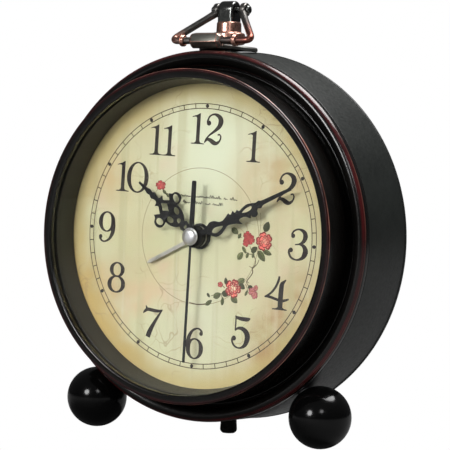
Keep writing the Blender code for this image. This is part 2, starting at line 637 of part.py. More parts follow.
def arbor(name, finish, centre, base, extras, bore=0.0):
    """A wheel with what is fixed on its axis: extras are more solids, and bore runs right through."""
    x, z = centre
    made = piece(name, base, finish, (x, 0, z))
    for number, extra in enumerate(extras):
        cut(made, cutter(f"{name}_part_{number}", extra, (x, 0, z)), "UNION")
    if bore:
        hole = disc(bore, -0.02, 0.04, steps=12)
        cut(made, cutter(f"{name}_bore", hole, (x, 0, z)))
    return made


def motion_work():
    """Minute pipe, minute-work wheel, hour wheel and the time-setting gear."""
    low, high = layer("minute_pinion")
    rear = layer("centre_wheel")[1] + GAP
    arbor("minute_pipe", "brass", CENTRE, toothed(MINUTE_TEETH, WORK_MODULE_MINUTE, low, high),
          [disc(MINUTE_PIPE[1], MINUTE_HAND_Y - HAND_THICK - GAP, rear, steps=12)], MINUTE_PIPE[0])
    work_phase = meshing_phase(MINUTE_TEETH, 0, WORK_DIRECTION, WORK_TEETH)
    pinion_low, pinion_high = layer("work_pinion")
    wheel_low, wheel_high = layer("work_wheel")
    wheel = toothed(WORK_TEETH, WORK_MODULE_MINUTE, wheel_low, wheel_high, work_phase)
    pinion = toothed(WORK_PINION_TEETH, WORK_MODULE_HOUR, pinion_low, pinion_high, WORK_PINION_PHASE)
    arbor("minute_work_wheel", "white_plastic", WORK_AXIS, wheel, [pinion], POST_R + RUNNING_GAP)
    hour_phase = meshing_phase(WORK_PINION_TEETH, WORK_PINION_PHASE, WORK_DIRECTION + 180, HOUR_TEETH)
    low, high = layer("hour_wheel")
    arbor("hour_wheel", "white_plastic", CENTRE, toothed(HOUR_TEETH, WORK_MODULE_HOUR, low, high, hour_phase),
          [disc(HOUR_PIPE[1], HOUR_HAND_Y - HAND_THICK - GAP, high, steps=12)], HOUR_PIPE[0])
    time_phase = meshing_phase(WORK_TEETH, work_phase, TIME_DIRECTION, TIME_GEAR_TEETH)
    low, high = layer("time_gear")
    arbor("time_knob_gear", "white_plastic", TIME_AXIS,
          toothed(TIME_GEAR_TEETH, WORK_MODULE_MINUTE, low, high, time_phase),
          [disc(KNOB_SHAFT_R, INSIDE_Y + GAP, KNOB_Y + KNOB_DEPTH / 2, steps=12)])


def alarm_work():
    low, high = layer("alarm_wheel")
    arbor("alarm_wheel", "white_plastic", CENTRE, toothed(ALARM_TEETH, ALARM_MODULE, low, high),
          [disc(ALARM_PIPE[1], ALARM_HAND_Y - HAND_THICK - GAP, high, steps=16)], ALARM_PIPE[0])
    phase = meshing_phase(ALARM_TEETH, 0, ALARM_DIRECTION, ALARM_GEAR_TEETH)
    arbor("alarm_knob_gear", "white_plastic", ALARM_AXIS,
          toothed(ALARM_GEAR_TEETH, ALARM_MODULE, low, high, phase),
          [disc(KNOB_SHAFT_R, INSIDE_Y + GAP, KNOB_Y + KNOB_DEPTH / 2, steps=12)])


def going_train():
    """Rotor to second wheel to centre wheel."""
    plate_low = layer("gear_plate")[0] + GAP
    rear = COVER_Y + COVER_THICK - GAP
    pinion_low, pinion_high = layer("second_pinion")
    low, high = layer("second_wheel")
    second_phase = meshing_phase(PINION_TEETH, 0, INTERMEDIATE_DIRECTION + 180, SECOND_TEETH)
    arbor("second_wheel", "white_plastic", CENTRE,
          toothed(SECOND_TEETH, SECOND_WHEEL_MODULE, low, high, second_phase),
          [toothed(PINION_TEETH, THIRD_MODULE, pinion_low, pinion_high),
           disc(SECOND_SHAFT_R, SECOND_HAND_Y - 1.3 * MM, rear, steps=12)])
    third_phase = meshing_phase(PINION_TEETH, 0, THIRD_DIRECTION, THIRD_TEETH)
    low, high = layer("third_wheel")
    pinion_low, pinion_high = layer("third_pinion")
    arbor("third_wheel", "white_plastic", THIRD_AXIS,
          toothed(THIRD_TEETH, THIRD_MODULE, low, high, third_phase),
          [toothed(PINION_TEETH, CENTRE_MODULE, pinion_low, pinion_high),
           disc(ARBOR_R, plate_low, rear, steps=8)])
    centre_phase = meshing_phase(PINION_TEETH, 0, THIRD_DIRECTION + 180, CENTRE_TEETH)
    low, high = layer("centre_wheel")
    arbor("centre_wheel", "brass", CENTRE, toothed(CENTRE_TEETH, CENTRE_MODULE, low, high, centre_phase),
          [], MINUTE_PIPE[1] + RUNNING_GAP)
    low, high = layer("intermediate_wheel")
    pinion_low, pinion_high = layer("intermediate_pinion")
    arbor("intermediate_wheel", "white_plastic", INTERMEDIATE_AXIS,
          toothed(INTERMEDIATE_TEETH, ROTOR_MODULE, low, high),
          [toothed(PINION_TEETH, SECOND_WHEEL_MODULE, pinion_low, pinion_high),
           disc(ARBOR_R, plate_low, rear, steps=8)])
    rotor_phase = meshing_phase(INTERMEDIATE_TEETH, 0, ROTOR_DIRECTION, PINION_TEETH)
    low, high = layer("rotor_pinion")
    magnet_low, magnet_high = layer("rotor_magnet")
    arbor("rotor", "gunmetal", ROTOR_AXIS, toothed(PINION_TEETH, ROTOR_MODULE, low, high, rotor_phase),
          [disc(2.6 * MM, magnet_low, magnet_high, steps=24), disc(ARBOR_R, plate_low, rear, steps=8)])


# ---- movement ----
def movement_housing():
    half = MOVEMENT_SIDE / 2
    inner = half - MOVEMENT_WALL
    rear = COVER_Y - GAP
    shell = box((-half, MOVEMENT_FRONT_Y, -half), (half, rear, half))
    housing = piece("movement_housing", shell, "black_plastic")
    gear_bay = box((-inner, INSIDE_Y, BAY_WALL_Z + MOVEMENT_WALL / 2), (inner, rear + 0.01, inner))
    battery_bay = box((-inner, INSIDE_Y, -inner), (inner, rear + 0.01, BAY_WALL_Z - MOVEMENT_WALL / 2))
    cut(housing, cutter("gear_bay", gear_bay))
    cut(housing, cutter("battery_bay", battery_bay))
    cut(housing, cutter("neck", disc(NECK_R, NECK_FRONT_Y, INSIDE_Y - 0.2 * MM, steps=32)), "UNION")
    cut(housing, cutter("neck_bore", disc(NECK_BORE_R, NECK_FRONT_Y - 0.01, INSIDE_Y + 0.1 * MM, steps=24)))
    post = disc(POST_R, INSIDE_Y - 0.5 * MM, layer("minute_pinion")[1], steps=12)
    cut(housing, cutter("work_post", post, (WORK_AXIS[0], 0, WORK_AXIS[1])), "UNION")
    for number, (x, z) in enumerate(PLATE_POSTS):
        post = disc(1.2 * MM, INSIDE_Y - 0.5 * MM, layer("gear_plate")[0] - GAP, steps=12)
        cut(housing, cutter(f"plate_post_{number}", post, (x, 0, z)), "UNION")
    for number, (x, z) in enumerate(EARS):
        side = 1 if x > 0 else -1
        span = sorted((side * (half - 0.5 * MM), side * (EAR_X + 3.5 * MM)))
        low = (span[0], MOVEMENT_FRONT_Y, z - 3.5 * MM)
        ear = box(low, (span[1], MOVEMENT_FRONT_Y + 1.6 * MM, z + 3.5 * MM))
        cut(housing, cutter(f"ear_{number}", ear), "UNION")
        hole = disc(SCREW_R + GAP, 0, MOVEMENT_FRONT_Y + 0.01, steps=12)
        cut(housing, cutter(f"ear_hole_{number}", hole, (x, 0, z)))
        head_y = MOVEMENT_FRONT_Y + 1.6 * MM + GAP
        screw(f"movement_screw_{number + 1}", (x, head_y, z), 2.2 * MM, 6 * MM)


def movement_cover():
    half = MOVEMENT_SIDE / 2
    rear = COVER_Y + COVER_THICK
    cover = piece("movement_cover", box((-half, COVER_Y, -half), (half, rear, half)), "black_plastic")
    opening = box((-DOOR_HALF - GAP, 0, DOOR_Z[0] - GAP), (DOOR_HALF + GAP, 2 * rear, DOOR_Z[1] + GAP))
    cut(cover, cutter("door_opening", opening))
    holes = [(THIRD_AXIS, PIVOT_HOLE_R), (INTERMEDIATE_AXIS, PIVOT_HOLE_R), (ROTOR_AXIS, PIVOT_HOLE_R),
             (CENTRE, SECOND_SHAFT_R + RUNNING_GAP), (TIME_AXIS, KNOB_HOLE_R), (ALARM_AXIS, KNOB_HOLE_R)]
    for number, ((x, z), radius) in enumerate(holes):
        cut(cover, cutter(f"cover_hole_{number}", disc(radius, 0, 2 * rear, steps=12), (x, 0, z)))
    slot = box((SWITCH[0] - SWITCH_POST[0] - GAP, 0, SWITCH[1] - SWITCH_POST[1] - GAP),
               (SWITCH[0] + SWITCH_TRAVEL + SWITCH_POST[0] + GAP, 2 * rear, SWITCH[1] + SWITCH_POST[1] + GAP))
    cut(cover, cutter("switch_slot", slot))
    slab = box((-DOOR_HALF, COVER_Y, DOOR_Z[0]), (DOOR_HALF, rear, DOOR_Z[1]))
    door = piece("battery_door", slab, "black_plastic")
    low = (-6 * MM, rear - 0.5 * MM, DOOR_Z[1] - 3.5 * MM)
    tab = box(low, (6 * MM, rear + 1.2 * MM, DOOR_Z[1] - 1.5 * MM))
    cut(door, cutter("door_tab", tab), "UNION")


def alarm_switch():
    """The slider's thumb piece stands outside; its wider foot slides under the cover."""
    x, z = SWITCH
    low = (x - 4.5 * MM, COVER_Y - GAP - 0.8 * MM, z - 2.4 * MM)
    foot = box(low, (x + 4.5 * MM, COVER_Y - GAP, z + 2.4 * MM))
    slider = piece("alarm_switch", foot, "white_plastic")
    px, pz = SWITCH_POST
    post = box((x - px, COVER_Y - GAP - 0.4 * MM, z - pz), (x + px, COVER_Y + COVER_THICK + 1.6 * MM, z + pz))
    cut(slider, cutter("switch_post", post), "UNION")


def gear_plate():
    low, high = layer("gear_plate")
    left, right, top, bottom = -22.0 * MM, 25.4 * MM, 25.4 * MM, BAY_WALL_Z + MOVEMENT_WALL
    shoulder_x, shoulder_z = -8.0 * MM, 5.0 * MM
    outline = [(left, bottom), (right, bottom), (right, top), (shoulder_x, top), (shoulder_x, shoulder_z),
               (left, shoulder_z)]
    made = piece("gear_plate", plate(outline, low, high), "white_plastic")
    holes = [(THIRD_AXIS, PIVOT_HOLE_R), (INTERMEDIATE_AXIS, PIVOT_HOLE_R), (ROTOR_AXIS, PIVOT_HOLE_R),
             (CENTRE, MINUTE_PIPE[1] + RUNNING_GAP), (TIME_AXIS, KNOB_HOLE_R), (ALARM_AXIS, KNOB_HOLE_R)]
    for number, ((x, z), radius) in enumerate(holes):
        cut(made, cutter(f"plate_hole_{number}", disc(radius, 0, 0.05, steps=12), (x, 0, z)))


def motor():
    """Stator bar with the rotor's hole, its two legs, and the coil between the legs."""
    low, high = layer("stator")
    left, right = -25.5 * MM, -9.0 * MM
    leg = 3.0 * MM
    leg_in = 0.1 * MM            # the legs are this much thinner on each side
    foot_low, foot_high, top = -7.5 * MM, 1.5 * MM, 21.0 * MM
    stator = piece("stator", box((left, low, foot_low), (right, high, foot_high)), "steel")
    for number, start in enumerate((left, right - leg)):
        upright = box((start, low + leg_in, foot_high - leg_in), (start + leg, high - leg_in, top))
        cut(stator, cutter(f"stator_leg_{number}", upright), "UNION")
    cut(stator, cutter("rotor_hole", disc(3.1 * MM, 0, 0.05, steps=24), (ROTOR_AXIS[0], 0, ROTOR_AXIS[1])))
    coil_z = 18.0 * MM
    core_y = INSIDE_Y + COIL_CORE_Y
    core = box((left, core_y - 0.6 * MM, coil_z - 1.5 * MM), (right, core_y + 0.6 * MM, coil_z + 1.5 * MM))
    coil = piece("coil", core, "wire_red")
    winding_half = (right - left) / 2 - leg - GAP
    winding = disc(3.2 * MM, -winding_half, winding_half, steps=20, axis="X")
    cut(coil, cutter("winding", winding, ((left + right) / 2, core_y, coil_z)), "UNION")


def electrics():
    low, high = layer("circuit_board")
    piece("circuit_board", box((-25.5 * MM, low, 10.6 * MM), (2.0 * MM, high, 25.5 * MM)), "board_green")
    piece("buzzer", turned([(0, 0), (8.2 * MM, 0), (8.2 * MM, 4.0 * MM), (1.2 * MM, 4.0 * MM),
                            (1.2 * MM, 3.0 * MM), (0, 3.0 * MM)], 32), "black_plastic",
          (17.0 * MM, INSIDE_Y + GAP, 16.8 * MM))
    inner = MOVEMENT_SIDE / 2 - MOVEMENT_WALL
    contact = 0.4 * MM
    nub_r, nub_length = 2.7 * MM, 1.2 * MM
    y = COVER_Y - GAP - BATTERY_R
    right = inner - 2 * GAP - contact
    piece("battery", turned([
        (0, -BATTERY_LENGTH), (BATTERY_R - 0.5 * MM, -BATTERY_LENGTH),
        (BATTERY_R, -BATTERY_LENGTH + 0.5 * MM),
        (BATTERY_R, -nub_length - 0.5 * MM), (BATTERY_R - 0.5 * MM, -nub_length), (nub_r, -nub_length),
        (nub_r, 0), (0, 0),
    ], 32, "X"), "battery_wrap", (right, y, BATTERY_Z))
    plate_x = inner - GAP
    piece("contact_positive", box((plate_x - contact, y - 5 * MM, BATTERY_Z - 5 * MM),
                                  (plate_x, y + 5 * MM, BATTERY_Z + 5 * MM)), "steel")
    wire_r, turns, steps = 0.3 * MM, 2.5, 12
    room = (right - BATTERY_LENGTH) - (-inner) - 2 * GAP - 2 * wire_r
    points, normals = [], []
    for k in range(int(turns * steps) + 1):
        t = k / (turns * steps)
        a = 2 * pi * turns * t
        out = Vector((0, cos(a), sin(a)))
        radius = (5.0 - 2.4 * t) * MM
        points.append(Vector((room * t, 0, 0)) + radius * out)
        normals.append(out)
    piece("contact_negative", tube(points, normals, wire_r, 6), "steel",
          (-inner + GAP + wire_r, y, BATTERY_Z))


def knobs():
    for name, (x, z) in (("time_knob", TIME_AXIS), ("alarm_knob", ALARM_AXIS)):
        grips = 18
        bm = toothed(grips, 2 * KNOB_R / (grips + 1.6), KNOB_Y, KNOB_Y + KNOB_DEPTH)
        knob = piece(name, bm, "black_plastic", (x, 0, z))
        socket = disc(KNOB_SHAFT_R + RUNNING_GAP, KNOB_Y - 0.01, KNOB_Y + KNOB_DEPTH / 2 + GAP, steps=12)
        cut(knob, cutter(f"{name}_socket", socket, (x, 0, z)))


# ---- hands ----
def hand_angle(clockwise):
    return radians(90 - clockwise - DIAL_TWIST)


def hand_outline(hub_r, arm, tail=()):
    """A hub circle with an arm along +x and perhaps a tail along -x, each listing (reach, half width)."""
    arc = 9
    start = asin(arm[0][1] / hub_r)
    end = pi - asin(tail[0][1] / hub_r) if tail else pi
    upper = [start + (end - start) * k / arc for k in range(arc + 1)]
    points = [(hub_r * cos(a), hub_r * sin(a)) for a in upper]
    points += [(-x, w) for x, w in tail] + [(-x, -w) for x, w in reversed(tail) if w]
    points += [(hub_r * cos(a), -hub_r * sin(a)) for a in reversed(upper if tail else upper[:-1])]
    points += [(x, -w) for x, w in arm if w] + [(x, w) for x, w in reversed(arm)]
    return points


def hand(name, y, clockwise, outline, bore, finish, thick=HAND_THICK):
    """A flat hand, bored for its pipe."""
    a = hand_angle(clockwise)
    placed = [(x * cos(a) - z * sin(a), x * sin(a) + z * cos(a)) for x, z in outline]
    piece(name, plate(placed, y - thick, y, circle(bore, 16)), finish, smooth=False)


def hands():
    hours, minutes, seconds = TIME_SHOWN
    minute_share = minutes + seconds / 60
    hour_arm = [(0.17, 1.1 * MM), (0.24, 3.6 * MM), (0.42, 4.2 * MM), (0.52, 1.2 * MM), (0.60, 3.4 * MM),
                (0.70, 3.4 * MM), (0.78, 0.9 * MM), (0.86, 1.7 * MM), (1.0, 0)]
    minute_arm = [(0.12, 1.0 * MM), (0.20, 2.6 * MM), (0.30, 2.2 * MM), (0.38, 1.0 * MM), (0.52, 2.4 * MM),
                  (0.64, 2.4 * MM), (0.70, 0.8 * MM), (0.95, 0.6 * MM), (1.0, 0)]
    alarm_arm = [(0.19, 0.7 * MM), (0.9, 0.5 * MM), (1.0, 0)]
    second_arm = [(0.07, 0.6 * MM), (0.12, 0.4 * MM), (1.0, 0.35 * MM)]

    def reach(arm, length):
        return [(length * share, width) for share, width in arm]

    hand("alarm_hand", ALARM_HAND_Y, ALARM_SHOWN * 30,
         hand_outline(HUB_R, reach(alarm_arm, ALARM_HAND_LENGTH)), ALARM_PIPE[1] + RUNNING_GAP, "silver")
    hand("hour_hand", HOUR_HAND_Y, (hours + minute_share / 60) * 30,
         hand_outline(HUB_R, reach(hour_arm, HOUR_HAND_LENGTH)), HOUR_PIPE[1] + RUNNING_GAP, "hand_black")
    outline = hand_outline(HUB_R, reach(minute_arm, MINUTE_HAND_LENGTH))
    hand("minute_hand", MINUTE_HAND_Y, minute_share * 6, outline, MINUTE_PIPE[1] + RUNNING_GAP, "hand_black")
    tail = [(2.9 * MM, 0.75 * MM), (SECOND_TAIL_LENGTH, 0.75 * MM)]
    hand("second_hand", SECOND_HAND_Y, seconds * 6,
         hand_outline(0.65 * HUB_R, reach(second_arm, SECOND_HAND_LENGTH), tail),
         SECOND_SHAFT_R + RUNNING_GAP, "hand_black", thick=0.4 * MM)
    base = SECOND_HAND_Y - 0.5 * MM - GAP
    piece("second_hand_cap", turned([
        (SECOND_SHAFT_R + RUNNING_GAP, base), (CAP_R, base), (CAP_R, base - 0.3 * MM),
        (CAP_R * 0.9, base - 0.75 * MM), (CAP_R * 0.6, base - 1.15 * MM), (0, base - 1.35 * MM),
        (0, base - 0.75 * MM), (SECOND_SHAFT_R + RUNNING_GAP, base - 0.75 * MM),
    ], 24), "silver")


front_bezel()
face_stack()
dial_carrier()
case_drum()
back_cover()
feet()
handle_mount()
bail_parts()
movement_housing()
movement_cover()
alarm_switch()
gear_plate()
motor()
electrics()
motion_work()
alarm_work()
going_train()
knobs()
hands()
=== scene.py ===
import bpy
import bmesh
import random
from math import cos, pi, radians, sin, sqrt
from mathutils import Matrix, Quaternion, Vector


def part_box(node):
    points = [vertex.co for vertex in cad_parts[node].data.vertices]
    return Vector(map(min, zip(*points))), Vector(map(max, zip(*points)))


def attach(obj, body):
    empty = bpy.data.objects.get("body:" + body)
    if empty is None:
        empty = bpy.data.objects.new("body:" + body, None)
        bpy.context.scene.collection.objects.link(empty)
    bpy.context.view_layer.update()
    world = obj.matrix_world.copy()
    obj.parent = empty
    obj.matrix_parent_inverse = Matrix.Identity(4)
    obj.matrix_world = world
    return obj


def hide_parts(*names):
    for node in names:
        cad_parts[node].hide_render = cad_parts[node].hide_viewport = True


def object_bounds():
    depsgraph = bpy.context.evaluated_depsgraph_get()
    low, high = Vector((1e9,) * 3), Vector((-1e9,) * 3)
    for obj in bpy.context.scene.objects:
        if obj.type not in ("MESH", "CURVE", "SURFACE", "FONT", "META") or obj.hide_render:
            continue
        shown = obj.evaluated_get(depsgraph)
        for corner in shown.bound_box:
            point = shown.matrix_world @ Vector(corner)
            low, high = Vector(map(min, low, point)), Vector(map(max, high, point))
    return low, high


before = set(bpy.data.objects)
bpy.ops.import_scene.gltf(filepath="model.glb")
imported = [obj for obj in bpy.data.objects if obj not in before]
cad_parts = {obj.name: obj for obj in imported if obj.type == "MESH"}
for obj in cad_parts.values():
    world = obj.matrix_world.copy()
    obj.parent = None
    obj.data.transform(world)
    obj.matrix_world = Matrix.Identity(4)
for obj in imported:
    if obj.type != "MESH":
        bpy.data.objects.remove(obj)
cadBox = [list(corner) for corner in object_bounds()]
mm = 0.001
dialLow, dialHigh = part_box("dial")
centre = Vector((0, dialLow.y, (dialLow.z + dialHigh.z) / 2))   # middle of the dial's front
print("frame loaded:", len(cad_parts), "nodes")

# camera, to the right of the clock and level with the dial
camera = dict(offset=(0.3699, -0.6044, 0.0231), aim=(-0.5120, 0.8586, -0.0269), roll=1.56, lens=168.6)
cameraData = bpy.data.cameras.new("camera")
cameraData.lens = camera["lens"]
cameraObject = bpy.data.objects.new("camera", cameraData)
bpy.context.collection.objects.link(cameraObject)
cameraObject.location = centre + Vector(camera["offset"])
cameraObject.rotation_mode = "QUATERNION"
aimed = Vector(camera["aim"]).to_track_quat("-Z", "Y")
cameraObject.rotation_quaternion = aimed @ Quaternion((0, 0, 1), radians(camera["roll"]))
bpy.context.scene.camera = cameraObject
bpy.context.scene.view_settings.view_transform = "Standard"

# soft studio light over a pale floor
studio = dict(
    backdrop=(1.0, 1.0, 1.0), low=(0.03, 0.031, 0.032), high=(0.12, 0.122, 0.125), floor=0.22,
    lamps={   # place from the dial's middle, size, power
        "keySoftbox": ((-0.22, -1.18, 0.37), 0.38, 6.9),
        "topSoftbox": ((0.30, 0.28, 1.04), 0.80, 19.0),
        "sideSoftbox": ((0.62, -0.85, 0.50), 0.24, 1.0),
    },
)
world = bpy.data.worlds.new("studio")
bpy.context.scene.world = world
world.use_nodes = True
worldTree = world.node_tree
overhead = worldTree.nodes.new("ShaderNodeMapRange")
overhead.inputs["From Min"].default_value, overhead.inputs["From Max"].default_value = -0.05, 0.75
split = worldTree.nodes.new("ShaderNodeSeparateXYZ")
worldTree.links.new(worldTree.nodes.new("ShaderNodeTexCoord").outputs["Generated"], split.inputs[0])
worldTree.links.new(split.outputs["Z"], overhead.inputs["Value"])
seen = worldTree.nodes.new("ShaderNodeLightPath").outputs["Is Camera Ray"]
shade = None
for factor, lowTone, highTone in ((overhead.outputs["Result"], studio["low"], studio["high"]),
                                  (seen, None, studio["backdrop"])):
    blend = worldTree.nodes.new("ShaderNodeMixRGB")
    worldTree.links.new(factor, blend.inputs["Fac"])
    if lowTone:
        blend.inputs["Color1"].default_value = (*lowTone, 1)
    else:
        worldTree.links.new(shade, blend.inputs["Color1"])
    blend.inputs["Color2"].default_value = (*highTone, 1)
    shade = blend.outputs["Color"]
worldTree.links.new(shade, worldTree.nodes["Background"].inputs["Color"])
for lampName, (lampSpot, size, power) in studio["lamps"].items():
    lampData = bpy.data.lights.new(lampName, "AREA")
    lampData.shape = "DISK"
    lampData.size = size
    lampData.energy = power
    lamp = bpy.data.objects.new(lampName, lampData)
    bpy.context.collection.objects.link(lamp)
    lamp.location = centre + Vector(lampSpot)
    lamp.rotation_euler = (-Vector(lampSpot)).to_track_quat("-Z", "Y").to_euler()

floorMesh = bpy.data.meshes.new("floor")
floorMesh.from_pydata([(-4, -4, 0), (4, -4, 0), (4, 4, 0), (-4, 4, 0)], [], [(0, 1, 2, 3)])
floor = bpy.data.objects.new("floor", floorMesh)
bpy.context.collection.objects.link(floor)
floor.location.z = cadBox[0][2]
floorFinish = bpy.data.materials.new("paleFloor")
floorFinish.use_nodes = True
floorTree = floorFinish.node_tree
floorShader = floorTree.nodes["Principled BSDF"]   # what the clock sees; the camera sees plain white
floorShader.inputs["Base Color"].default_value = (*[studio["floor"]] * 3, 1)
floorShader.inputs["Roughness"].default_value = 0.9
white = floorTree.nodes.new("ShaderNodeEmission")
floorMix = floorTree.nodes.new("ShaderNodeMixShader")
for value, socket in ((floorTree.nodes.new("ShaderNodeLightPath").outputs["Is Camera Ray"], 0),
                      (floorShader.outputs[0], 1), (white.outputs[0], 2)):
    floorTree.links.new(value, floorMix.inputs[socket])
floorTree.links.new(floorMix.outputs[0], floorTree.nodes["Material Output"].inputs["Surface"])
floorMesh.materials.append(floorFinish)
print("camera and lights set")


# mesh helpers
def eased(corners, steps=6):
    # corners are (radius, depth, easing) in mm; each corner is eased into a short arc
    points = []
    for i, (radius, depth, ease) in enumerate(corners):
        here = Vector((radius, depth))
        before = Vector(corners[i - 1][:2]) - here
        after = Vector(corners[(i + 1) % len(corners)][:2]) - here
        reach = min(ease, before.length / 2, after.length / 2)
        if reach < 0.01 or radius == 0:
            points.append(here * mm)
            continue
        start, end = here + before.normalized() * reach, here + after.normalized() * reach
        for k in range(steps + 1):
            t = k / steps
            points.append(((1 - t) ** 2 * start + 2 * t * (1 - t) * here + t * t * end) * mm)
    return points


def lathe(outline, steps=96, axis="Y", place=(0, 0, 0), half=0.0):
    # a closed (radius, depth) outline turned about an axis
    bm = bmesh.new()
    rows = []
    for radius, depth in outline:
        count = 1 if radius == 0 else steps
        row = []
        for i in range(count):
            a = 2 * pi * (i + half) / steps
            u, v = radius * cos(a), radius * sin(a)
            spot = {"Y": (u, depth, v), "Z": (u, v, depth), "X": (depth, u, v)}[axis]
            row.append(bm.verts.new(Vector(spot) + Vector(place)))
        rows.append(row)
    for one, two in zip(rows, rows[1:] + rows[:1]):
        if len(one) == 1 and len(two) == 1:
            continue
        for i in range(steps):
            j = (i + 1) % steps
            corners = [one[i % len(one)], one[j % len(one)], two[j % len(two)], two[i % len(two)]]
            bm.faces.new(list(dict.fromkeys(corners)))
    return bm


def sweep(path, ups, radii, sides=24):
    # a round rod along path, with a normal and a radius at each point
    bm = bmesh.new()
    rows = []
    for i, point in enumerate(path):
        ahead = path[min(i + 1, len(path) - 1)] - path[max(i - 1, 0)]
        across = ahead.normalized().cross(ups[i])
        turns = [2 * pi * k / sides for k in range(sides)]
        rows.append([bm.verts.new(point + radii[i] * (cos(a) * across + sin(a) * ups[i])) for a in turns])
    for one, two in zip(rows, rows[1:]):
        for k in range(sides):
            bm.faces.new((one[k], one[(k + 1) % sides], two[(k + 1) % sides], two[k]))
    bm.faces.new(rows[0])
    bm.faces.new(rows[-1])
    return bm


def block(low, high):
    bm = bmesh.new()
    bmesh.ops.create_cube(bm, size=1)
    for v in bm.verts:
        v.co = [low[i] + (v.co[i] + 0.5) * (high[i] - low[i]) for i in range(3)]
    return bm


def curve(points, steps=8, closed=False):
    # a smooth line through points of any number of values; a point given twice makes a corner
    spots = [Vector(p) for p in points]
    last = len(spots) if closed else len(spots) - 1
    line = []
    for i in range(last):
        near = [spots[(i + k) % len(spots)] if closed else spots[max(0, min(i + k, last))]
                for k in (-1, 0, 1, 2)]
        if near[1] == near[2]:
            continue
        for k in range(steps):
            t = k / steps
            line.append(0.5 * (2 * near[1] + (near[2] - near[0]) * t
                               + (2 * near[0] - 5 * near[1] + 4 * near[2] - near[3]) * t * t
                               + (3 * near[1] - near[0] - 3 * near[2] + near[3]) * t ** 3))
    return line if closed else line + [spots[-1]]


def oval(x, z, wide, high, tilt=0.0, count=28):
    turns = [2 * pi * k / count for k in range(count)]
    return [(x + wide * cos(a) * cos(tilt) - high * sin(a) * sin(tilt),
             z + wide * cos(a) * sin(tilt) + high * sin(a) * cos(tilt)) for a in turns]


def cutPlate(outlines, low, high, bevel, turn=0.0):
    # flat metal between two depths: the first outline is the edge, the others are holes
    flat = bpy.data.curves.new("outline", "CURVE")
    flat.dimensions = "2D"
    flat.fill_mode = "BOTH"
    flat.extrude = (high - low) / 2 - bevel
    flat.bevel_depth = bevel
    flat.bevel_resolution = 2
    for points in outlines:
        spline = flat.splines.new("POLY")
        spline.use_cyclic_u = True
        spline.points.add(len(points) - 1)
        for spot, (x, z) in zip(spline.points, [(p[0], p[1]) for p in points]):
            spot.co = (x, z, 0, 1)
    holder = bpy.data.objects.new("outline", flat)
    bpy.context.collection.objects.link(holder)
    mesh = bpy.data.meshes.new_from_object(holder.evaluated_get(bpy.context.evaluated_depsgraph_get()))
    bm = bmesh.new()
    bm.from_mesh(mesh)
    bpy.data.objects.remove(holder)
    bmesh.ops.remove_doubles(bm, verts=bm.verts, dist=1e-6)
    standing = Matrix.Translation((0, (low + high) / 2, 0)) @ Matrix.Rotation(pi / 2, 4, "X")
    spun = Matrix.Rotation(-turn, 4, "Y")
    bmesh.ops.transform(bm, matrix=spun @ standing, verts=bm.verts)
    return bm


def shift(bm, matrix):
    bmesh.ops.transform(bm, matrix=matrix, verts=bm.verts)
    return bm


def smoothed(mesh, angle):
    # smooth shading up to angle, with faces square to the dial's axis left flat
    mesh.shade_smooth()
    mesh.set_sharp_from_angle(angle=radians(angle))
    for face in mesh.polygons:
        face.use_smooth = abs(face.normal.y) < 0.99999


def place(name, bm, finish, body, standsFor=(), slot=None, smooth=40, closed=True):
    # turns mesh data into a piece that rides on its CAD body
    if closed:
        bmesh.ops.recalc_face_normals(bm, faces=bm.faces)
        if bm.calc_volume(signed=True) < 0:
            bmesh.ops.reverse_faces(bm, faces=bm.faces)
    mesh = bpy.data.meshes.new(name)
    bm.to_mesh(mesh)
    bm.free()
    piece = bpy.data.objects.new(name, mesh)
    bpy.context.collection.objects.link(piece)
    mesh.materials.append(finish)
    if smooth:
        smoothed(mesh, smooth)
    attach(piece, body)
    if standsFor:
        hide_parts(*standsFor)
    return piece


def shape(piece, tool, operation="DIFFERENCE", smooth=40):
    # cuts or joins with other mesh data, which then goes
    mesh = bpy.data.meshes.new("tool")
    bmesh.ops.recalc_face_normals(tool, faces=tool.faces)
    if tool.calc_volume(signed=True) < 0:
        bmesh.ops.reverse_faces(tool, faces=tool.faces)
    tool.to_mesh(mesh)
    tool.free()
    helper = bpy.data.objects.new("tool", mesh)
    bpy.context.collection.objects.link(helper)
    step = piece.modifiers.new("step", "BOOLEAN")
    step.operation = operation
    step.solver = "EXACT"
    step.object = helper
    settle(piece)
    bpy.data.objects.remove(helper)
    smoothed(piece.data, smooth)


def settle(piece):
    # leaves the modifiers' result as the piece's own mesh
    bpy.context.view_layer.update()
    made = bpy.data.meshes.new_from_object(piece.evaluated_get(bpy.context.evaluated_depsgraph_get()))
    piece.modifiers.clear()
    piece.data = made


def soften(piece, width, segments=3, angle=30, edgeFinish=None):
    # bevels the edges sharper than angle
    bevel = piece.modifiers.new("bevel", "BEVEL")
    bevel.width = width
    bevel.segments = segments
    bevel.limit_method = "ANGLE"
    bevel.angle_limit = radians(angle)
    if edgeFinish:
        piece.data.materials.append(edgeFinish)
        bevel.material = 1
    settle(piece)
    smoothed(piece.data, 50)


# shader helpers
def node(tree, kind, ins=None, **settings):
    made = tree.nodes.new("ShaderNode" + kind)
    for key, value in settings.items():
        setattr(made, key, value)
    for key, value in (ins or {}).items():
        if isinstance(value, bpy.types.NodeSocket):
            tree.links.new(value, made.inputs[key])
        else:
            made.inputs[key].default_value = value
    return made


def blendColours(tree, share, one, two):
    made = node(tree, "Mix", data_type="RGBA")
    for socket, value in (("Factor", share), ("A", one), ("B", two)):
        spot = [s for s in made.inputs if s.name == socket and s.enabled][0]
        if isinstance(value, bpy.types.NodeSocket):
            tree.links.new(value, spot)
        elif socket == "Factor":
            spot.default_value = value
        else:
            spot.default_value = (*value, 1)
    return [s for s in made.outputs if s.enabled][0]


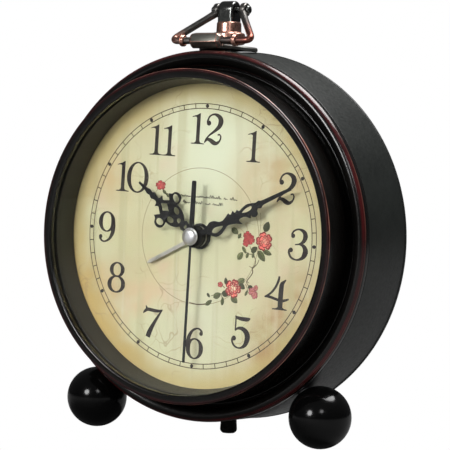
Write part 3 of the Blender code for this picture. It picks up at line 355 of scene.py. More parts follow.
def spread(tree, value, low, high, to=(0.0, 1.0)):
    made = node(tree, "MapRange", {"Value": value, "From Min": low, "From Max": high,
                                   "To Min": to[0], "To Max": to[1]}, interpolation_type="SMOOTHSTEP")
    return made.outputs["Result"]


def sums(tree, operation, one, two):
    return node(tree, "Math", {0: one, 1: two}, operation=operation).outputs[0]


def newGroup(name, inputs, outputs):
    tree = bpy.data.node_groups.new(name, "ShaderNodeTree")
    for label, kind, value in inputs:
        socket = tree.interface.new_socket(label, in_out="INPUT", socket_type="NodeSocket" + kind)
        socket.default_value = value
    for label in outputs:
        tree.interface.new_socket(label, in_out="OUTPUT", socket_type="NodeSocketFloat")
    return tree, tree.nodes.new("NodeGroupInput").outputs, tree.nodes.new("NodeGroupOutput").inputs


def surfaceGrain():
    # broad mottling and fine grain in metres of the object, stretched along an axis where asked
    tree, given, made = newGroup(
        "surfaceGrain", [("Scale", "Float", 100.0), ("Stretch", "Vector", (1, 1, 1))], ["Mottle", "Grain"])
    spot = node(tree, "TexCoord").outputs["Object"]
    pulled = node(tree, "VectorMath", {0: spot, 1: given["Stretch"]}, operation="MULTIPLY").outputs[0]
    broad = node(tree, "TexNoise", {"Vector": pulled, "Scale": given["Scale"], "Detail": 3.0,
                                    "Roughness": 0.6})
    finer = sums(tree, "MULTIPLY", given["Scale"], 14.0)
    fine = node(tree, "TexNoise", {"Vector": pulled, "Scale": finer, "Detail": 4.0, "Roughness": 0.7})
    tree.links.new(spread(tree, broad.outputs["Fac"], 0.3, 0.7), made["Mottle"])
    tree.links.new(fine.outputs["Fac"], made["Grain"])
    return tree


def rubbedRing():
    # a worn line round the dial's axis, at a radius and a depth from the dial, patchy along its length
    tree, given, made = newGroup(
        "rubbedRing", [("Radius", "Float", 0.05), ("Depth", "Float", 0.0), ("Reach", "Float", 0.001),
                       ("Patchiness", "Float", 0.5)], ["Mask"])
    spot = node(tree, "TexCoord").outputs["Object"]
    local = node(tree, "VectorMath", {0: spot, 1: tuple(centre)}, operation="SUBTRACT").outputs[0]
    part = node(tree, "SeparateXYZ", {0: local}).outputs
    face = node(tree, "CombineXYZ", {"X": part["X"], "Z": part["Z"]}).outputs[0]
    radius = node(tree, "VectorMath", {0: face}, operation="LENGTH").outputs["Value"]
    off = node(tree, "CombineXYZ", {"X": sums(tree, "SUBTRACT", radius, given["Radius"]),
                                    "Y": sums(tree, "SUBTRACT", part["Y"], given["Depth"])}).outputs[0]
    away = node(tree, "VectorMath", {0: off}, operation="LENGTH").outputs["Value"]
    close = node(tree, "MapRange", {"Value": away, "From Min": given["Reach"], "From Max": 0.0,
                                    "To Min": 0.0, "To Max": 1.0}).outputs["Result"]
    patches = node(tree, "TexNoise", {"Vector": local, "Scale": 90.0, "Detail": 3.0}).outputs["Fac"]
    kept = sums(tree, "SUBTRACT", 1.0, sums(tree, "MULTIPLY", spread(tree, patches, 0.35, 0.65),
                                            given["Patchiness"]))
    tree.links.new(sums(tree, "MULTIPLY", close, kept), made["Mask"])
    return tree


def settledDust():
    # a thin pale film where a surface faces up
    tree, given, made = newGroup("settledDust", [("Amount", "Float", 0.1)], ["Mask"])
    up = node(tree, "SeparateXYZ", {0: node(tree, "NewGeometry").outputs["Normal"]}).outputs["Z"]
    specks = node(tree, "TexNoise", {"Vector": node(tree, "TexCoord").outputs["Object"],
                                     "Scale": 700.0, "Detail": 4.0}).outputs["Fac"]
    film = sums(tree, "MULTIPLY", spread(tree, up, 0.5, 1.0), spread(tree, specks, 0.35, 0.75))
    tree.links.new(sums(tree, "MULTIPLY", film, given["Amount"]), made["Mask"])
    return tree


grainGroup, ringGroup, dustGroup = surfaceGrain(), rubbedRing(), settledDust()


def finishFor(name, look):
    # a Principled finish: two tones by mottling, roughness and bump by grain, extra tones laid over
    made = bpy.data.materials.new(name)
    made.use_nodes = True
    tree = made.node_tree
    shader = tree.nodes["Principled BSDF"]
    for socket, value in look.get("fixed", {}).items():
        shader.inputs[socket].default_value = value
    grain = node(tree, "Group", node_tree=grainGroup)
    grain.inputs["Scale"].default_value = look.get("scale", 120.0)
    grain.inputs["Stretch"].default_value = look.get("stretch", (1, 1, 1))
    colour = blendColours(tree, grain.outputs["Mottle"], look["tones"][0], look["tones"][1])
    for tone, mask in look.get("over", lambda tree: [])(tree):
        colour = blendColours(tree, mask, colour, tone)
    if look.get("dust"):
        film = node(tree, "Group", node_tree=dustGroup)
        film.inputs["Amount"].default_value = look["dust"]
        colour = blendColours(tree, film.outputs["Mask"], colour, (0.42, 0.40, 0.36))
    tree.links.new(colour, shader.inputs["Base Color"])
    low, high = look["rough"]
    tree.links.new(spread(tree, grain.outputs["Grain"], 0.3, 0.7, (low, high)), shader.inputs["Roughness"])
    bump = node(tree, "Bump", {"Height": grain.outputs["Grain"], "Strength": look.get("bump", 0.1),
                               "Distance": look.get("relief", 0.0001)})
    tree.links.new(bump.outputs["Normal"], shader.inputs["Normal"])
    return made


def ringMask(tree, radius, depth, reach, patchiness):
    made = node(tree, "Group", node_tree=ringGroup)
    for label, value in (("Radius", radius), ("Depth", depth), ("Reach", reach)):
        made.inputs[label].default_value = value * mm
    made.inputs["Patchiness"].default_value = patchiness
    return made.outputs["Mask"]


def nearMask(tree, spot, reach):
    # 1 at a point of the object, 0 past reach
    here = node(tree, "TexCoord").outputs["Object"]
    gap = node(tree, "VectorMath", {0: here, 1: tuple(spot)}, operation="DISTANCE").outputs["Value"]
    return spread(tree, gap, reach, 0.0)


# finishes
copperTone = (0.62, 0.27, 0.20)
wornCopper = (0.30, 0.10, 0.075)


def bezelTones(tree):
    return [
        ((0.048, 0.006, 0.007), ringMask(tree, 55.3, -12.7, 0.8, 0.5)),
        (copperTone, ringMask(tree, 55.75, -12.35, 0.24, 0.85)),
        ((0.085, 0.008, 0.009), ringMask(tree, 62.0, -0.8, 1.0, 0.45)),
        (wornCopper, ringMask(tree, 62.5, -0.2, 0.33, 0.5)),
        ((0.10, 0.022, 0.018), ringMask(tree, 57.6, 0.9, 0.5, 0.6)),
        ((0.085, 0.012, 0.010), ringMask(tree, 59.2, -1.9, 0.4, 0.7)),
    ]


def hemTones(tree):
    return [((0.05, 0.02, 0.015), ringMask(tree, 63.3, 27.4, 0.3, 0.6))]


finishes = {
    "blackLacquer": dict(tones=((0.003, 0.0028, 0.0025), (0.006, 0.0052, 0.0045)), rough=(0.17, 0.24),
                         scale=60,
                         bump=0.03, over=bezelTones, dust=0.02),
    "drumSatin": dict(tones=((0.009, 0.011, 0.0095), (0.014, 0.0165, 0.0145)), rough=(0.33, 0.46), scale=70,
                      bump=0.08, over=hemTones, dust=0.05, fixed={"Specular IOR Level": 0.42}),
    "innerWall": dict(tones=((0.010, 0.010, 0.0078), (0.017, 0.017, 0.0135)), rough=(0.4, 0.55), scale=90,
                      bump=0.08),
    "ballEnamel": dict(tones=((0.002, 0.002, 0.002), (0.003, 0.003, 0.003)), rough=(0.12, 0.17), scale=80,
                       bump=0.02, fixed={"Specular IOR Level": 0.28}),
    "polishedCopper": dict(tones=((0.72, 0.37, 0.28), (0.86, 0.52, 0.42)), rough=(0.24, 0.36), scale=260,
                           stretch=(1, 1, 0.12), bump=0.10, fixed={"Metallic": 1.0}),
    "hexGunmetal": dict(tones=((0.26, 0.255, 0.22), (0.36, 0.35, 0.31)), rough=(0.30, 0.42), scale=300,
                        stretch=(0.15, 1, 1), bump=0.14, fixed={"Metallic": 1.0}),
    "darkPolish": dict(tones=((0.12, 0.125, 0.12), (0.18, 0.185, 0.175)), rough=(0.16, 0.26), scale=250,
                       bump=0.06, fixed={"Metallic": 1.0}),
    "baseGunmetal": dict(tones=((0.14, 0.14, 0.13), (0.22, 0.215, 0.20)), rough=(0.34, 0.46), scale=220,
                         bump=0.12, dust=0.06, fixed={"Metallic": 1.0}),
    "handBlack": dict(tones=((0.004, 0.004, 0.0045), (0.008, 0.0075, 0.008)), rough=(0.5, 0.62), scale=500,
                      bump=0.10, fixed={"Specular IOR Level": 0.25}),
    "alarmSilver": dict(tones=((0.42, 0.40, 0.36), (0.52, 0.50, 0.46)), rough=(0.32, 0.42), scale=400,
                        stretch=(1, 1, 0.3), bump=0.10, fixed={"Metallic": 0.85}),
    "capSilver": dict(tones=((0.80, 0.79, 0.82), (0.88, 0.87, 0.90)), rough=(0.26, 0.36), scale=350,
                      bump=0.06, fixed={"Metallic": 1.0}),
    "backPlastic": dict(tones=((0.016, 0.016, 0.017), (0.026, 0.026, 0.027)), rough=(0.42, 0.6), scale=260,
                        bump=0.45, relief=0.00006, dust=0.10),
    "knobPlastic": dict(tones=((0.012, 0.012, 0.013), (0.022, 0.022, 0.023)), rough=(0.35, 0.5), scale=300,
                        bump=0.3, relief=0.00004),
    "whitePlastic": dict(tones=((0.70, 0.69, 0.64), (0.80, 0.79, 0.75)), rough=(0.35, 0.5), scale=200,
                         bump=0.08),
    "carrierPlastic": dict(tones=((0.02, 0.02, 0.021), (0.032, 0.032, 0.033)), rough=(0.45, 0.6), scale=200,
                           bump=0.25),
    "brass": dict(tones=((0.55, 0.38, 0.13), (0.70, 0.52, 0.22)), rough=(0.22, 0.36), scale=300, bump=0.1,
                  fixed={"Metallic": 1.0}),
    "steel": dict(tones=((0.42, 0.42, 0.43), (0.58, 0.58, 0.59)), rough=(0.24, 0.4), scale=320, bump=0.12,
                  fixed={"Metallic": 1.0}),
    "magnet": dict(tones=((0.10, 0.10, 0.10), (0.16, 0.155, 0.15)), rough=(0.35, 0.5), scale=400, bump=0.2,
                   fixed={"Metallic": 0.8}),
    "coilWire": dict(tones=((0.36, 0.075, 0.02), (0.55, 0.16, 0.05)), rough=(0.25, 0.4), scale=2600,
                     stretch=(1, 0.02, 0.02), bump=0.6, relief=0.0002),
    "boardGreen": dict(tones=((0.012, 0.09, 0.035), (0.03, 0.16, 0.06)), rough=(0.3, 0.45), scale=180,
                       bump=0.1),
    "batteryWrap": dict(tones=((0.05, 0.13, 0.06), (0.08, 0.18, 0.09)), rough=(0.2, 0.3), scale=60, bump=0.05,
                        fixed={"Coat Weight": 0.3}),
    "footRubber": dict(tones=((0.012, 0.012, 0.012), (0.022, 0.021, 0.02)), rough=(0.7, 0.85), scale=300,
                       bump=0.4),
}
made = {name: finishFor(name, look) for name, look in finishes.items()}


def bailFinish():
    # gunmetal with drawn streaks, rubbed to copper at the outer corners
    bailLow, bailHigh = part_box("bail")
    corners = [Vector((x, bailLow.y + 2 * mm, bailLow.z + 2 * mm)) for x in (bailLow.x, bailHigh.x)]

    def rubbed(tree):
        return [(copperTone, nearMask(tree, corners[0], 6.5 * mm)),
                (wornCopper, nearMask(tree, corners[1], 13 * mm))]

    return finishFor("bailGunmetal", dict(
        tones=((0.11, 0.108, 0.10), (0.24, 0.225, 0.21)), rough=(0.28, 0.42), scale=240,
        stretch=(0.5, 0.25, 0.25), bump=0.16, over=rubbed, fixed={"Metallic": 1.0}))


made["bailGunmetal"] = bailFinish()


def lensFinish():
    # clear glass that lets the lamps through to the dial
    glass = bpy.data.materials.new("lensGlass")
    glass.use_nodes = True
    tree = glass.node_tree
    shader = tree.nodes["Principled BSDF"]
    shader.inputs["Transmission Weight"].default_value = 1.0
    shader.inputs["IOR"].default_value = 1.45
    shader.inputs["Base Color"].default_value = (0.98, 0.99, 0.98, 1)
    smudge = node(tree, "Group", node_tree=grainGroup)
    smudge.inputs["Scale"].default_value = 40.0
    tree.links.new(spread(tree, smudge.outputs["Mottle"], 0.2, 1.0, (0.0, 0.03)), shader.inputs["Roughness"])
    path = node(tree, "LightPath")
    clear = node(tree, "BsdfTransparent")
    both = node(tree, "MixShader", {0: path.outputs["Is Shadow Ray"], 1: shader.outputs[0],
                                    2: clear.outputs[0]})
    tree.links.new(both.outputs[0], tree.nodes["Material Output"].inputs["Surface"])
    return glass


made["lensGlass"] = lensFinish()


def paperFinish():
    # aged parchment: pale middle and top, tan and rosy patches, ochre edge, fold streaks and fine cracks
    paper = bpy.data.materials.new("dialPaper")
    paper.use_nodes = True
    tree = paper.node_tree
    shader = tree.nodes["Principled BSDF"]
    radius = (dialHigh.x - dialLow.x) / 2
    spot = node(tree, "TexCoord").outputs["Object"]
    local = node(tree, "VectorMath", {0: spot, 1: tuple(centre)}, operation="SUBTRACT").outputs[0]
    unit = node(tree, "VectorMath", {0: local, 1: (1 / radius,) * 3}, operation="MULTIPLY").outputs[0]
    part = node(tree, "SeparateXYZ", {0: unit}).outputs
    away = node(tree, "VectorMath", {0: unit}, operation="LENGTH").outputs["Value"]

    def clouds(scale, seed, stretch=(1, 1, 1), detail=4.0):
        moved = node(tree, "VectorMath", {0: unit, 1: stretch}, operation="MULTIPLY").outputs[0]
        offset = node(tree, "VectorMath", {0: moved, 1: (seed, 0, seed * 2)}, operation="ADD").outputs[0]
        return node(tree, "TexNoise", {"Vector": offset, "Scale": scale, "Detail": detail}).outputs["Fac"]

    def near(x, z, reach):
        gap = node(tree, "VectorMath", {0: unit, 1: (x, 0, z)}, operation="DISTANCE").outputs["Value"]
        return spread(tree, gap, reach, 0.0)

    colour = blendColours(tree, spread(tree, clouds(1.6, 3), 0.35, 0.7), (0.62, 0.61, 0.39),
                          (0.56, 0.50, 0.30))
    colour = blendColours(tree, near(0.12, 0.55, 0.75), colour, (0.69, 0.72, 0.53))
    colour = blendColours(tree, near(0.05, -0.55, 0.5), colour, (0.63, 0.63, 0.44))
    patches = [   # middle, reach, tone, strength
        (0.62, 0.42, 0.52, (0.52, 0.38, 0.21), 1.0), (0.34, 0.30, 0.26, (0.60, 0.50, 0.31), 0.6),
        (0.60, -0.63, 0.32, (0.40, 0.23, 0.11), 2.2), (0.78, -0.38, 0.40, (0.42, 0.27, 0.12), 0.9),
        (0.30, -0.30, 0.24, (0.60, 0.48, 0.33), 0.7), (-0.28, -0.30, 0.26, (0.64, 0.46, 0.28), 0.8),
        (-0.62, -0.38, 0.30, (0.58, 0.41, 0.22), 0.8), (-0.44, -0.42, 0.16, (0.66, 0.42, 0.26), 0.7),
        (-0.70, 0.36, 0.32, (0.58, 0.42, 0.22), 0.8), (-0.55, 0.05, 0.22, (0.60, 0.52, 0.30), 0.6),
        (-0.42, 0.72, 0.26, (0.54, 0.46, 0.25), 0.6), (0.16, 0.86, 0.26, (0.52, 0.49, 0.28), 0.6),
        (-0.84, -0.28, 0.20, (0.60, 0.36, 0.14), 0.7), (-0.05, -0.62, 0.18, (0.58, 0.50, 0.34), 0.6),
        (-0.86, 0.62, 0.26, (0.34, 0.38, 0.17), 0.7), (0.66, 0.66, 0.16, (0.64, 0.42, 0.28), 0.6),
    ]
    rough = clouds(5.0, 11)
    for x, z, reach, tone, strength in patches:
        share = sums(tree, "MULTIPLY", near(x, z, reach),
                     spread(tree, rough, 0.35, 0.6, (0.3 * strength, strength)))
        colour = blendColours(tree, share, colour, tone)
    greenish = sums(tree, "MULTIPLY", spread(tree, clouds(2.3, 23), 0.5, 0.72), 0.45)
    colour = blendColours(tree, greenish, colour, (0.56, 0.60, 0.33))
    rosy = sums(tree, "MULTIPLY", spread(tree, clouds(3.4, 31), 0.55, 0.75), 0.4)
    colour = blendColours(tree, rosy, colour, (0.66, 0.47, 0.36))
    folds = sums(tree, "MULTIPLY", spread(tree, clouds(3.0, 7, (3.2, 1, 0.14), 2.0), 0.52, 0.66), 0.5)
    colour = blendColours(tree, folds, colour, (0.46, 0.43, 0.24))
    creases = sums(tree, "MULTIPLY", spread(tree, clouds(4.5, 17, (4.0, 1, 0.10), 2.0), 0.60, 0.70), 0.18)
    colour = blendColours(tree, creases, colour, (0.72, 0.71, 0.55))
    edge = spread(tree, sums(tree, "ADD", away, sums(tree, "MULTIPLY", rough, 0.12)), 0.84, 0.99)
    colour = blendColours(tree, sums(tree, "MULTIPLY", edge, 0.8), colour, (0.50, 0.39, 0.16))
    lean = sums(tree, "ADD", sums(tree, "MULTIPLY", part["X"], -0.70),
                sums(tree, "MULTIPLY", part["Z"], -0.50))
    ochre = spread(tree, sums(tree, "ADD", lean, sums(tree, "MULTIPLY", rough, 0.3)), 0.74, 1.0)
    colour = blendColours(tree, sums(tree, "MULTIPLY", ochre, 0.85), colour, (0.54, 0.37, 0.12))
    bent = node(tree, "VectorMath", {0: unit,
                                     1: node(tree, "TexNoise",
                                             {"Vector": unit, "Scale": 3.0}).outputs["Color"]},
                operation="ADD").outputs[0]
    cells = node(tree, "TexVoronoi", {"Vector": bent, "Scale": 3.4},
                 feature="DISTANCE_TO_EDGE").outputs["Distance"]
    cracks = sums(tree, "MULTIPLY", spread(tree, cells, 0.022, 0.0),
                  spread(tree, clouds(3.2, 41), 0.50, 0.60))
    colour = blendColours(tree, sums(tree, "MULTIPLY", cracks, 0.5), colour, (0.34, 0.24, 0.12))
    specks = sums(tree, "MULTIPLY", spread(tree, clouds(42.0, 5), 0.68, 0.76), 0.3)
    colour = blendColours(tree, specks, colour, (0.40, 0.33, 0.18))
    tree.links.new(colour, shader.inputs["Base Color"])
    fibre = clouds(160.0, 2)
    tree.links.new(spread(tree, fibre, 0.3, 0.7, (0.55, 0.72)), shader.inputs["Roughness"])
    shader.inputs["Specular IOR Level"].default_value = 0.3
    bump = node(tree, "Bump", {"Height": fibre, "Strength": 0.12, "Distance": 0.00005})
    tree.links.new(bump.outputs["Normal"], shader.inputs["Normal"])
    return paper


made["dialPaper"] = paperFinish()


def inkFinish():
    # printed colours from the mesh's own tint, slightly uneven as on old paper
    ink = bpy.data.materials.new("printedInk")
    ink.use_nodes = True
    tree = ink.node_tree
    shader = tree.nodes["Principled BSDF"]
    tint = node(tree, "VertexColor", layer_name="tint").outputs["Color"]
    grain = node(tree, "Group", node_tree=grainGroup)
    grain.inputs["Scale"].default_value = 260.0
    faded = sums(tree, "MULTIPLY", grain.outputs["Mottle"], 0.05)
    tree.links.new(blendColours(tree, faded, tint, (0.60, 0.56, 0.38)), shader.inputs["Base Color"])
    tree.links.new(spread(tree, grain.outputs["Grain"], 0.3, 0.7, (0.5, 0.65)), shader.inputs["Roughness"])
    shader.inputs["Specular IOR Level"].default_value = 0.3
    return ink


made["printedInk"] = inkFinish()
print("finishes made:", len(made))

# the CAD nodes that keep their own shape
kept = {
    "dialPaper": ["dial"],
    "lensGlass": ["lens"],
    "carrierPlastic": ["dial_carrier", "movement_housing", "buzzer"],
    "whitePlastic": ["gear_plate", "minute_work_wheel", "hour_wheel", "alarm_wheel", "third_wheel",
                     "second_wheel",
                     "intermediate_wheel", "time_knob_gear", "alarm_knob_gear"],
    "brass": ["minute_pipe", "centre_wheel"],
    "steel": ["stator", "contact_positive", "contact_negative", "handle_screw", "foot_screw_left",
              "foot_screw_right", "rear_foot_screw", "movement_screw_1", "movement_screw_2",
              "movement_screw_3",
              "movement_screw_4"],
    "magnet": ["rotor"],
    "coilWire": ["coil"],
    "boardGreen": ["circuit_board"],
    "batteryWrap": ["battery"],
}
for finish, nodeNames in kept.items():
    for nodeName in nodeNames:
        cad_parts[nodeName].data.materials.clear()
        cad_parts[nodeName].data.materials.append(made[finish])
print("kept nodes painted")


handle = dict(studDepth=15.0, pivot=77.1, droop=40.7, shift=0.8, reach=17.16,
              halfWidth=16.0,
              rod=1.2, eye=2.4, eyeThick=2.2, eyeOut=5.3)

# case
case = dict(steps=200, rimFront=-12.9, openingRadius=52.7, rimRadius=55.8, groove=3.3, stepRadius=62.55)
atCentre = Matrix.Translation(centre)


def drumRadius(depth):
    # mm; the drum flares from 62.5 at its front to 63.3 at its back
    return 62.5 + (depth - 2.3) / 25.5 * 0.8


def frontBezel():
    rim, opening, outer = case["rimFront"], case["openingRadius"], case["rimRadius"]
    groove, step = case["groove"], case["stepRadius"]
    outline = eased([
        (opening, rim + 0.55, 0.25), (opening + 0.5, rim + 0.12, 0.3), (outer - 0.5, rim, 0.3),
        (outer, rim + 0.5, 0.35), (outer - 0.2, groove - 1.2, 0.6),
        (outer + 0.8, groove, 0.9), (outer + 1.6, groove - 2.0, 0.6), (outer + 2.5, groove - 4.2, 1.3),
        (outer + 4.5, groove - 5.0, 1.4), (step - 0.9, groove - 4.5, 1.0), (step, groove - 3.2, 0.8),
        (step, 2.0, 0.2), (61.4, 2.0, 0), (61.4, 2.9, 0.1), (60.4, 2.9, 0.1), (60.4, 0.2, 0.2),
        (60.0, -0.6, 0.3), (58.4, 1.9, 0.3), (57.9, 4.3, 0.2), (54.8, 4.3, 0.2), (54.8, -10.8, 0.1),
        (opening, -10.8, 0.1),
    ], 7)
    place("bezel_ring", shift(lathe(outline, case["steps"]), atCentre), made["blackLacquer"], "case",
          ["front_bezel"], "bezel_lacquer")


def innerWall():
    outline = eased([(52.6, -8.6, 0.15), (54.2, -8.6, 0.05), (54.2, -0.3, 0.05), (51.3, -0.3, 0.1),
                     (51.3, -0.8, 0.2)])
    place("dial_wall", shift(lathe(outline, case["steps"]), atCentre), made["innerWall"], "case",
          ["dial_spacer"], "drum_satin")


def drumShell():
    footLow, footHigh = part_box("rear_foot")
    footDepth = ((footLow.y + footHigh.y) / 2 - centre.y) / mm
    front, back = 2.3, 27.8
    outline = eased([
        (drumRadius(front), front, 0.25), (drumRadius(26.3), 26.3, 0.05), (63.15, 26.45, 0.1),
        (63.5, 26.7, 0.25),
        (63.5, back - 0.2, 0.25), (63.1, back, 0.2), (62.5, back, 0.15),
        (drumRadius(front) - 0.8, front, 0.1),
    ])
    drum = place("drum_shell", shift(lathe(outline, case["steps"]), atCentre), made["drumSatin"], "case",
                 ["case_drum"], "drum_satin")
    for x, depth, z, bore in ((0, handle["studDepth"], 62, 1.6), (0, footDepth, -62, 1.3),
                              (-44.3, 5.95, -57.94, 2.2),
                              (44.3, 5.95, -57.94, 2.2)):
        way = Vector((x, 0, z)).normalized()
        drill = lathe(eased([(0, -8, 0), (bore, -8, 0), (bore, 8, 0), (0, 8, 0)]), 24, "Z")
        spot = Vector((way.x * 62, depth, way.z * 62)) * mm
        turn = Vector((0, 0, 1)).rotation_difference(way).to_matrix().to_4x4()
        shape(drum, shift(drill, atCentre @ Matrix.Translation(spot) @ turn))


frontBezel()
innerWall()
drumShell()
print("case made")

# feet
feet = dict(radius=10.4, spread=44.3, depth=5.95, drop=57.94, rings=40, steps=72)


def ballFeet():
    r, rings = feet["radius"], feet["rings"]
    arc = [(max(r * sin(pi * k / rings), 0) if 0 < k < rings else 0, -r * cos(pi * k / rings))
           for k in range(rings + 1)]
    for side, word in ((-1, "left"), (1, "right")):
        spot = Vector((side * feet["spread"], feet["depth"], -feet["drop"])) * mm
        ball = lathe([(x * mm, z * mm) for x, z in arc], feet["steps"], "Z", spot)
        piece = place(f"ball_foot_{word}", shift(ball, atCentre), made["ballEnamel"], "case",
                      [f"foot_ball_{word}"], "ball_black")
        clear = lathe(eased([(0, -30, 0), (63.15, -30, 0), (63.15, 50, 0), (0, 50, 0)]), 160)
        shape(piece, shift(clear, atCentre))
        way = Vector((side * feet["spread"], 0, -feet["drop"])).normalized()
        socket = lathe(eased([(0, -12.5, 0), (2.2, -12.5, 0), (2.2, -1, 0), (0, -1, 0)]), 24, "Z")
        turn = Vector((0, 0, 1)).rotation_difference(way).to_matrix().to_4x4()
        shape(piece, shift(socket, atCentre @ Matrix.Translation(spot) @ turn))


def rearFoot():
    low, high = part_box("rear_foot")
    x, y = (low.x + high.x) / 2, (low.y + high.y) / 2
    radius, top = (high.x - low.x) / 2 / mm, (high.z - low.z) / mm
    outline = eased([(0, 0, 0), (radius - 0.9, 0, 0.3), (radius, 0.9, 0.6), (radius - 0.25, top, 0.1),
                     (0, top, 0)])
    foot = place("rear_bumper", lathe(outline, 48, "Z", (x, y, low.z)), made["footRubber"], "case",
                 ["rear_foot"], "rubber")
    bore = lathe(eased([(0, 1.5, 0), (1.3, 1.5, 0), (1.3, top + 1, 0), (0, top + 1, 0)]), 24, "Z",
                 (x, y, low.z))
    shape(foot, bore)


ballFeet()
rearFoot()
print("feet made")

# handle
studSpot = centre + Vector((0, handle["studDepth"], 0)) * mm
pivotSpot = studSpot + Vector((handle["shift"], 0, handle["pivot"])) * mm


def basePlate():
    # a washer bent over the drum
    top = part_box("handle_base_plate")[1]
    over = top.z - centre.z
    under = over - 1.6 * mm
    profile = [(1.3, 0), (9.6, 0), (9.9, 0.12), (10.0, 0.4), (10.0, 0.65), (9.85, 0.85), (9.5, 0.97),
               (9.0, 1),
               (6.2, 1), (1.3, 1)]
    bm = lathe([(r * mm, share) for r, share in profile], 72, "Z")
    for v in bm.verts:
        curved = under + v.co.z * (over - under)
        v.co.z = sqrt(curved ** 2 - v.co.x ** 2)
    place("handle_washer", shift(bm, Matrix.Translation(studSpot)), made["baseGunmetal"], "case",
          ["handle_base_plate"], "gunmetal")


def studPost():
    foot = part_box("handle_stud")[0].z - centre.z
    foot = foot / mm
    outline = eased([
        (1.3, foot, 0), (5.2, foot, 0.2), (5.55, foot + 0.4, 0.2), (5.55, 68.9, 0.2), (5.15, 69.3, 0.2),
        (4.5, 69.35, 0.15), (4.3, 69.6, 0.15), (4.2, 72.6, 0.25), (3.85, 73.0, 0.2), (0, 73.0, 0), (0, 69, 0),
        (1.3, 69, 0),
    ], 5)
    stud = place("copper_stud", shift(lathe(outline, 96, "Z"), Matrix.Translation(studSpot)),
                 made["polishedCopper"], "case", ["handle_stud"], "copper")
    arch = [(3.1 * mm * cos(a), (77.1 + 3.1 * sin(a)) * mm) for a in [pi * k / 24 for k in range(25)]]
    arch += [(-3.1 * mm, 71.5 * mm), (3.1 * mm, 71.5 * mm)]
    loop = cutPlate([arch], -3.0 * mm, 3.0 * mm, 0.9 * mm)
    for v in loop.verts:   # the bevel widens the outline, so it is drawn back in
        v.co.x *= 3.1 / 4.0
        v.co.z = 77.1 * mm + (v.co.z - 77.1 * mm) * (3.1 / 4.0 if v.co.z > 77.1 * mm else 1.0)
    quarter = Matrix.Rotation(pi / 2, 4, "Z")
    shape(stud, shift(loop, Matrix.Translation(studSpot) @ quarter), "UNION")
    bore = lathe(eased([(0, -10, 0), (1.1, -10, 0), (1.1, 10, 0), (0, 10, 0)]), 32, "X",
                 studSpot + Vector((0, 0, handle["pivot"])) * mm)
    shape(stud, bore)
    stud.data.materials.append(made["darkPolish"])
    for face in stud.data.polygons:
        if face.center.z > centre.z + 73.05 * mm:
            face.material_index = 1


def pivotPin():
    end, head = 6.7, 0.7
    outline = eased([
        (0, -end - head, 0), (1.2, -end - head, 0.3), (1.5, -end - 0.2, 0.2), (1.5, -end, 0.05),
        (0.9, -end, 0),
        (0.9, end, 0), (1.5, end, 0.05), (1.5, end + 0.2, 0.2), (1.2, end + head, 0.3), (0, end + head, 0),
    ])
    place("pivot_pin", lathe(outline, 40, "X", pivotSpot), made["darkPolish"], "case", ["handle_pin"],
          "gunmetal")


def bailLoop():
    # drawn level in front of the pivot, then turned down to its folded angle
    folded = Matrix.Translation(pivotSpot) @ Matrix.Rotation(radians(handle["droop"]), 4, "X")
    start = handle["eye"] * 0.75
    wide, narrow, reach, bend = handle["halfWidth"], handle["eyeOut"], handle["reach"], 3.4
    corner = Vector((wide, -reach, 0))
    arm = (corner - Vector((narrow, -start, 0))).normalized()
    side = [Vector((narrow, -start, 0)) + arm * k for k in (0, 1.2, 2.4, 4.5, 7.5, 10.5)]
    near, far = corner - arm * bend, corner - Vector((bend, 0, 0))
    side += [(1 - t) ** 2 * near + 2 * t * (1 - t) * corner + t * t * far
             for t in [k / 10 for k in range(11)]]
    route = [p * mm for p in side + [Vector((-p.x, p.y, p.z)) for p in reversed(side)]]
    flare = [1.35, 1.3, 1.25] + [1.2] * (len(side) - 3)
    thick = [r * mm for r in flare + flare[::-1]]
    loop = place("bail_loop", shift(sweep(route, [Vector((0, 0, 1))] * len(route), thick), folded),
                 made["bailGunmetal"], "bail", ["bail"], "gunmetal")
    half = handle["eyeThick"] / 2
    for mark in (-1, 1):
        knuckle = eased([(0, -half, 0), (2.4, -half, 0.7), (2.4, half, 0.7), (0, half, 0)], 6)
        shape(loop, shift(lathe(knuckle, 48, "X", (mark * narrow * mm, 0, 0)), folded), "UNION")
    bore = lathe(eased([(0, -12, 0), (1.1, -12, 0), (1.1, 12, 0), (0, 12, 0)]), 32, "X")
    shape(loop, shift(bore, folded), smooth=50)
    bar = folded @ Matrix.Translation((0, -reach * mm, 0))
    corners = 5.0 / 2 / cos(pi / 6)
    bore, half, chamfer = 1.45, 6.0, 1.0
    hexagon = [(bore, -half), (corners - chamfer, -half), (corners, -half + chamfer * 1.1),
               (corners, half - chamfer * 1.1), (corners - chamfer, half), (bore, half)]
    grip = place("hex_grip", shift(lathe([(r * mm, d * mm) for r, d in hexagon], 6, "X", (-1.6 * mm, 0, 0),
                                         0.5), bar),
                 made["hexGunmetal"], "bail", ["bail_grip"], "gunmetal")
    soften(grip, 0.16 * mm, 2, 20, made["polishedCopper"])
    for mark, word in ((-1, "left"), (1, "right")):
        ring = eased([(1.45, -0.8, 0.1), (1.75, -0.8, 0.15), (2.0, -0.45, 0.25), (2.0, -0.15, 0.1),
                      (1.75, 0.0, 0.1), (2.0, 0.15, 0.1), (2.0, 0.45, 0.25), (1.75, 0.8, 0.15),
                      (1.45, 0.8, 0.1)])
        spot = ((mark * 10.2 - 0.8) * mm, 0, 0)
        place(f"copper_collar_{word}", shift(lathe(ring, 48, "X", spot), bar), made["polishedCopper"], "bail",
              [f"bail_collar_{word}"], "copper")


basePlate()
studPost()
pivotPin()
bailLoop()
print("handle made")

# hands; each is drawn pointing along x in mm, then turned to the time it shows
hands = dict(twist=2.3, hour=10 + 10.5 / 60, minute=10.5, second=30.0, alarm=8.05)


def clockTurn(clockwise):
    return radians(90 - clockwise - hands["twist"])


